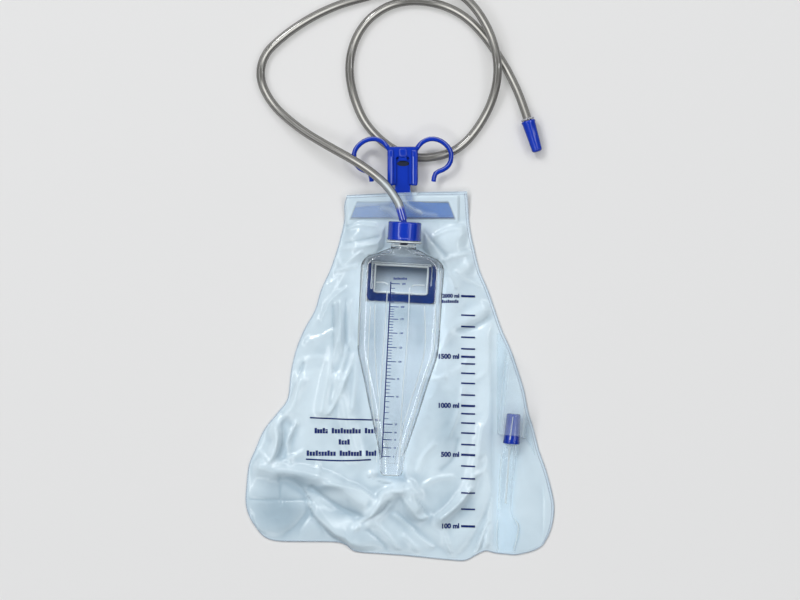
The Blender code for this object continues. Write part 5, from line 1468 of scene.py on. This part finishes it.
class BAG_OT_tube(bpy.types.Operator):
    """Makes the long clear inlet tube, hollow along its whole length, and the connector at its end"""

    bl_idname = "drainage_bag.tube"
    bl_label = "Inlet tube"

    def execute(self, context):
        look = context.scene.bag_tube
        path = smooth_path(np.array(TUBE_ROUTE) * MM, 300)
        turns = [2 * math.pi * k / 20 for k in range(20)]
        skins = []
        for radius in (look.diameter / 2, look.bore / 2):
            skins.append([[p + radius * (math.cos(a) * s + math.sin(a) * n) for a in turns]
                          for p, (s, n) in zip(path, tube_frames(path))])
        rings = skins[0] + skins[1][::-1] + skins[0][:1]
        data = loft_data("inlet_tube_skin", rings, smooth=40, capped=False)
        mark_tube(data, path)
        hose = piece("inlet_tube_skin", data, "soft_tube")
        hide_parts("inlet_tube")
        end = axis_matrix(TUBE_ROUTE[-1], TUBE_END_TURN)
        nose = turned_data("catheter_connector_skin", NOSE_PROFILE, end)
        nose = piece("catheter_connector_skin", nose, "clear_connector")
        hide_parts("catheter_connector")
        cover = turned_data("connector_cap_skin", CONNECTOR_CAP_PROFILE, end, 96, CONNECTOR_CAP_RIBS)
        cover = piece("connector_cap_skin", cover, "glossy_blue", "tube_cap")
        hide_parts("connector_cap")
        return {"FINISHED"}


# Prints, weld beads, and thin lines of painted highlight and painted shade

def above(name, lift):
    """A function for the height of a piece's upper side, and a lift in mm, over the table."""
    skin = bpy.data.objects[name].data
    tree = BVHTree.FromPolygons([v.co for v in skin.vertices], [p.vertices for p in skin.polygons])

    def height(x, y):
        spot = tree.ray_cast(Vector((x, y, 0.2)), Vector((0, 0, -1)))[0]
        if spot is None:
            spot = tree.find_nearest(Vector((x, y, 0)))[0]
        return spot.z + lift * MM

    return height


def drawn_line(points):
    return [drawn(*p) for p in points]


def in_chamber(x, y):
    """A place of the chamber's back plane in mm as metres on the table."""
    return tuple((chamber_matrix() @ (Vector((x, y, 0)) * MM)).xy)


def bar_shape(shape, line, width, height, crown=0.0):
    """Adds a bar, of a width and crown in mm, along a line on a surface of the given height."""
    reach = sum(math.dist(a, b) for a, b in zip(line, line[1:]))
    path = smooth_path(np.array(line), max(3, round(reach / PRINT_STEP)))
    across = np.gradient(path, axis=0)
    across = np.stack([-across[:, 1], across[:, 0]], axis=1)
    across /= np.linalg.norm(across, axis=1)[:, None]
    rows = []
    for share, lift in ((-0.5, 0), (-0.22, crown * MM), (0.22, crown * MM), (0.5, 0)):
        rows.append([shape.verts.new((*p, height(*p) + lift))
                     for p in path + across * (width * MM) * share])
    for low, high in zip(rows, rows[1:]):
        for a, b, c, d in zip(low, low[1:], high[1:], high):
            shape.faces.new((a, b, c, d))


def text_shape(shape, words, place, size, height, turn=0.0, align="RIGHT"):
    """Adds flat numbers to a shape, laid on a surface whose height is given by a function."""
    curve = bpy.data.curves.new("numbers", "FONT")
    curve.body = words
    curve.size = size
    curve.align_x = align
    curve.align_y = "CENTER"
    curve.offset = size * 0.045
    item = linked("numbers", curve)
    bpy.context.view_layer.update()
    data = bpy.data.meshes.new_from_object(item)
    bpy.data.objects.remove(item, do_unlink=True)
    data.transform(Matrix.Translation((*place, 0)) @ Matrix.Rotation(turn, 4, "Z"))
    known = [shape.verts.new((v.co.x, v.co.y, height(v.co.x, v.co.y))) for v in data.vertices]
    for face in data.polygons:
        shape.faces.new([known[k] for k in face.vertices])


def words_shape(shape, low, high, y, height, size=1.0):
    """A word as a row of small upright bars, since no real words are shown."""
    letters = max(3, round((high - low) / LETTER_STEP / size))
    for k in range(letters):
        x = low + (high - low) * (k + 0.5) / letters
        tall = LETTER_TALL if k == 0 or k % 4 == 3 else LETTER_LOW
        bar_shape(shape, drawn_line([(x, y + LETTER_DROP * size), (x, y - tall * size)]),
                  LETTER_WIDTH * size, height)


def print_piece(name, shape, finish="print_ink", body="bag"):
    bmesh.ops.solidify(shape, geom=shape.faces, thickness=-PRINT_DEPTH)
    bmesh.ops.recalc_face_normals(shape, faces=shape.faces)
    return piece(name, mesh_of(shape, name), finish, body)


def lines_piece(name, lines, height, finish, body="bag"):
    """One piece of bars, each given by its line and by its width and crown in mm."""
    shape = bmesh.new()
    for line, width, crown in lines:
        bar_shape(shape, line, width, height, crown)
    return print_piece(name, shape, finish, body)


class BAG_OT_film_prints(bpy.types.Operator):
    """Prints the bag's scale with its numbers, and the rules and words beside it"""

    bl_idname = "drainage_bag.film_prints"
    bl_label = "Prints on the film"

    def execute(self, context):
        look = context.scene.bag_print
        raised = above("front_film_skin", TICK_LIFT)
        start, middle, end = TICK_SPAN
        scale, numbers = bmesh.new(), bmesh.new()
        for y, words in BAG_TICKS:
            bar_shape(scale, drawn_line([(start, y), (middle, y + 0.3), (end, y + 0.5)]),
                      TICK_WIDE if words else TICK_NARROW, raised)
            if words:
                size = look.letter * (TOP_LABEL_SHARE if words == "2000 ml" else 1)
                text_shape(numbers, words, drawn(NUMBER_END, y), size, raised)
        print_piece("bag_scale", scale)
        print_piece("bag_numbers", numbers)
        film = above("front_film_skin", FILM_LIFT)
        block = bmesh.new()
        for line in RULES:
            bar_shape(block, drawn_line(line), RULE_WIDTH, film)
        for y, words in WORD_BARS:
            for low, high in words:
                words_shape(block, low, high, y, film)
        low, high, y, size = TOP_WORD
        words_shape(block, low, high, y, film, size)
        print_piece("bag_rules", block)
        return {"FINISHED"}


def weld_line(patch, side, inset):
    """A line along one side of the bag, a little inside its edge."""
    t = np.linspace(0.006, 0.994, 160)
    first = 0 if side < 2 else 2
    share = inset / np.linalg.norm(patch.side(first + 1, t) - patch.side(first, t), axis=0)
    if side != first:
        share = 1 - share
    x, y = patch.at(t, share) if side < 2 else patch.at(share, t)
    return list(zip(x, y))


class BAG_OT_weld_beads(bpy.types.Operator):
    """Lays the thin beads of the weld along the bag's edge"""

    bl_idname = "drainage_bag.weld_beads"
    bl_label = "Beads of the weld"

    def execute(self, context):
        patch = Patch(BOTTOM_EDGE, TOP_EDGE, LEFT_EDGE, RIGHT_EDGE)
        lines = [(weld_line(patch, side, inset * MM), *WELD_BEAD) for side, inset in WELD_LINES]
        lines_piece("weld_beads", lines, above("front_film_skin", FILM_LIFT), "weld_bead")
        return {"FINISHED"}


def spine_x(y):
    (x0, y0), (x1, y1) = SPINE
    return x0 + (x1 - x0) * (y - y0) / (y1 - y0)


class BAG_OT_chamber_prints(bpy.types.Operator):
    """Prints the scale on the chamber's column with its numbers"""

    bl_idname = "drainage_bag.chamber_prints"
    bl_label = "Prints on the chamber"

    def execute(self, context):
        column = above("chamber_shell", CHAMBER_LIFT)
        marks, figures = bmesh.new(), bmesh.new()
        bar_shape(marks, drawn_line([(spine_x(y), y) for y in (SPINE[0][1], 370, SPINE[1][1])]),
                  SPINE_WIDTH, column)
        minors = list(LOW_MINORS)
        for (low, _), (high, _) in zip(CHAMBER_MAJORS[:8], CHAMBER_MAJORS[1:8]):
            minors += [low + (high - low) * k / 5 for k in range(1, 5)]
        for y in minors:
            x = spine_x(y)
            bar_shape(marks, drawn_line([(x, y), (x + MINOR_LENGTH, y + 0.2)]), MINOR_WIDTH, column)
        for y, words in CHAMBER_MAJORS:
            x = spine_x(y)
            bar_shape(marks, drawn_line([(x, y), (x + MAJOR_LENGTH, y + 0.4)]), MAJOR_WIDTH, column)
            text_shape(figures, words, drawn(x + MAJOR_LENGTH + 2, y + 0.5), FIGURE_SIZE, column,
                       0.03, "LEFT")
        words_shape(figures, 393.5, 407, 279.0, column, 0.45)
        print_piece("chamber_scale", marks)
        print_piece("chamber_numbers", figures)
        return {"FINISHED"}


class BAG_OT_edges(bpy.types.Operator):
    """Lays thin lines of painted highlight where moulded edges catch the light, and painted dark lines
    where they look dark
    """

    bl_idname = "drainage_bag.edges"
    bl_label = "Lines of light along edges"

    def execute(self, context):
        column = above("chamber_shell", CHAMBER_LIFT)
        lines_piece("chamber_painted_highlights", [(drawn_line(line), *CHAMBER_LINE) for line in CHAMBER_LINES],
                    column, "painted_highlight")
        outline = []
        for side in (-1, 1):
            for start, width, crown in OUTLINE_BARS:
                spots = [(side * (row[1] - OUTLINE_INSET), row[0])
                         for row in CHAMBER_STATIONS[start:]]
                spots.append((side * OUTLINE_END[0], OUTLINE_END[1]))
                outline.append(([in_chamber(*spot) for spot in spots], width, crown))
        lines_piece("chamber_painted_dark_lines", outline, column, "painted_dark_edge")
        lines_piece("hook_painted_highlights", [(drawn_line(line), *HOOK_LINE) for line in HOOK_LINES],
                    above("hook_yoke", 0.05), "painted_blue_highlight")
        rim = []
        for loop, width in PORT_LOOPS:
            corners = [in_chamber(*p) for p in loop]
            rim += [([a, b], width, RIM_CROWN)
                    for a, b in zip(corners, corners[1:] + corners[:1])]
        lines_piece("port_painted_rim", rim, lambda x, y: chamber_back(x, y) + 1.3 * MM,
                    "painted_highlight")
        sleeve_glints = [(drawn_line(line), width, SLEEVE_GLINT_CROWN) for line, width in SLEEVE_LINES]
        lines_piece("sleeve_painted_highlights", sleeve_glints, above("drain_sleeve_skin", 0.04), "painted_highlight")
        lines_piece("plug_painted_highlight", [(drawn_line(PLUG_LINE), *PLUG_GLINT)],
                    above("drain_plug_skin", 0.04), "painted_highlight", "plug")
        return {"FINISHED"}


# Cap, hanger and the solids that show

class BAG_OT_cap(bpy.types.Operator):
    """Makes the ribbed screw cap, and the beads round the neck under it that carry painted highlights
    """

    bl_idname = "drainage_bag.cap"
    bl_label = "Screw cap"

    def execute(self, context):
        cap = turned_data("screw_cap_skin", CAP_PROFILE, NECK_FRAME, 288, CAP_RIBS)
        cap = piece("screw_cap_skin", cap, "glossy_blue", "chamber_cap")
        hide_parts("screw_cap")
        beads = bmesh.new()
        for bead in NECK_BEADS:
            beads.from_mesh(turned_data("bead", bead, NECK_FRAME, 96))
        piece("neck_painted_highlights", mesh_of(beads, "neck_painted_highlights"), "painted_highlight")
        return {"FINISHED"}


class BAG_OT_hanger_pads(bpy.types.Operator):
    """Lays the raised pads and rails on the hanger's yoke, stem and bar, with painted highlights along
    the rails and a painted shadow in the stem's eye
    """

    bl_idname = "drainage_bag.hanger_pads"
    bl_label = "Pads of the hanger"

    def execute(self, context):
        hanger = Matrix.Translation(HANGER_AT) @ Matrix.Rotation(HANGER_LEAN, 4, "X")
        for name, pads, finish in HANGER_PADS:
            piece(name, pads_data(name, pads, hanger), finish)
        return {"FINISHED"}


class BAG_OT_finishes(bpy.types.Operator):
    """Gives each solid that shows its own finish and rounds the edges of the hard ones"""

    bl_idname = "drainage_bag.finishes"
    bl_label = "Finishes of the solids"

    def execute(self, context):
        for name, (finish, rounding) in SOLID_FINISHES.items():
            item = frame["nodes"][name]
            item.data.materials.clear()
            item.data.materials.append(bpy.data.materials[finish])
            if rounding:
                edge = item.modifiers.new("Rounded edges", "BEVEL")
                edge.width = rounding * MM
                edge.segments = 3
                edge.limit_method = "ANGLE"
                edge.angle_limit = math.radians(40)
                edge.harden_normals = True
        return {"FINISHED"}


# Stage

def area_light(name, place, size, watts):
    data = bpy.data.lights.new(name, "AREA")
    data.shape = "RECTANGLE"
    data.size, data.size_y = size
    data.energy = watts
    lamp = linked(name, data)
    lamp.location = place
    aim = Vector(LAMP_AIM) - Vector(place)
    lamp.rotation_euler = aim.to_track_quat("-Z", "Y").to_euler()


def even_light(strength):
    """Light from all round by its height, leaning to one side. The camera sees a plain ground."""
    world = bpy.data.worlds.new("even_light")
    world.use_nodes = True
    tree = world.node_tree
    way = node(tree, "ShaderNodeTexCoord").outputs["Generated"]
    parts = node(tree, "ShaderNodeSeparateXYZ", {"Vector": way})
    lean = node(tree, "ShaderNodeVectorMath", {0: way, 1: SKY_LEAN}, operation="DOT_PRODUCT")
    light = node(tree, "ShaderNodeVectorMath", {
        "Vector": ramp_of(tree, parts.outputs["Z"], SKY_LEVELS, SKY_TINT),
        "Scale": maths(tree, "ADD", lean.outputs["Value"], 1.0)}, operation="SCALE")
    path = node(tree, "ShaderNodeLightPath")
    ground = (*[GROUND_LEVEL / strength] * 3, 1)
    sky = tree.nodes["Background"]
    feed(tree, sky.inputs["Strength"], strength)
    feed(tree, sky.inputs["Color"],
         blended(tree, path.outputs["Is Camera Ray"], light.outputs["Vector"], ground))
    return world


class BAG_OT_stage(bpy.types.Operator):
    """Sets the table, the even light, the lamps and the camera"""

    bl_idname = "drainage_bag.stage"
    bl_label = "Stage"

    def execute(self, context):
        look = context.scene.bag_stage
        new_material("table_top", Roughness=0.9, Specular_IOR_Level=0.1, Base_Color=(*look.floor, 1))
        corners = [(x * FLOOR_HALF, y * FLOOR_HALF, -FLOOR_DROP)
                   for x, y in ((-1, -1), (1, -1), (1, 1), (-1, 1))]
        floor = mesh_from("floor", corners, [(0, 1, 2, 3)])
        floor.materials.append(bpy.data.materials["table_top"])
        floor = linked("floor", floor)
        context.scene.world = even_light(look.sky)
        for lamp in LAMPS:
            area_light(*lamp)
        camera = bpy.data.cameras.new("camera")
        camera.sensor_fit = "HORIZONTAL"
        camera.lens = camera.sensor_width * look.distance / (DRAWING_WIDTH * UNIT)
        camera.clip_end = 20
        item = linked("camera", camera)
        item.location = (0, (DRAWING_CENTRE[1] - DRAWING_MIDDLE) * UNIT, look.distance)
        context.scene.camera = item
        context.scene.view_settings.view_transform = "Standard"
        return {"FINISHED"}


class BAG_PT_panel(bpy.types.Panel):
    """Lists the bag's makers and its sizes"""

    bl_idname = "BAG_PT_panel"
    bl_label = "Drainage Bag"
    bl_space_type = "VIEW_3D"
    bl_region_type = "UI"
    bl_category = "Drainage Bag"

    def draw(self, context):
        for operator in OPERATORS:
            self.layout.operator(operator.bl_idname)
        for name in SETTINGS:
            box = self.layout.box()
            group = getattr(context.scene, name)
            for label in group.__annotations__:
                box.prop(group, label)


SETTINGS = {
    "bag_film": FilmSettings, "bag_plastic": PlasticSettings, "bag_tube": TubeSettings,
    "bag_print": PrintSettings, "bag_stage": StageSettings,
}
OPERATORS = [
    BAG_OT_stage, BAG_OT_tube, BAG_OT_films, BAG_OT_chamber, BAG_OT_drain, BAG_OT_cap,
    BAG_OT_hanger_pads, BAG_OT_finishes, BAG_OT_film_prints, BAG_OT_weld_beads,
    BAG_OT_chamber_prints, BAG_OT_edges,
]


def register():
    for name, group in SETTINGS.items():
        bpy.utils.register_class(group)
        setattr(bpy.types.Scene, name, PointerProperty(type=group))
    for operator in OPERATORS:
        bpy.utils.register_class(operator)
    bpy.utils.register_class(BAG_PT_panel)


def unregister():
    bpy.utils.unregister_class(BAG_PT_panel)
    for operator in reversed(OPERATORS):
        bpy.utils.unregister_class(operator)
    for name, group in reversed(SETTINGS.items()):
        delattr(bpy.types.Scene, name)
        bpy.utils.unregister_class(group)


def main():
    register()
    make_materials()
    bpy.ops.drainage_bag.stage()
    bpy.ops.drainage_bag.tube()
    bpy.ops.drainage_bag.films()
    bpy.ops.drainage_bag.chamber()
    bpy.ops.drainage_bag.drain()
    bpy.ops.drainage_bag.cap()
    bpy.ops.drainage_bag.hanger_pads()
    bpy.ops.drainage_bag.finishes()
    bpy.ops.drainage_bag.film_prints()
    bpy.ops.drainage_bag.weld_beads()
    bpy.ops.drainage_bag.chamber_prints()
    bpy.ops.drainage_bag.edges()
    bpy.context.view_layer.update()


if __name__ == "__main__":
    main()
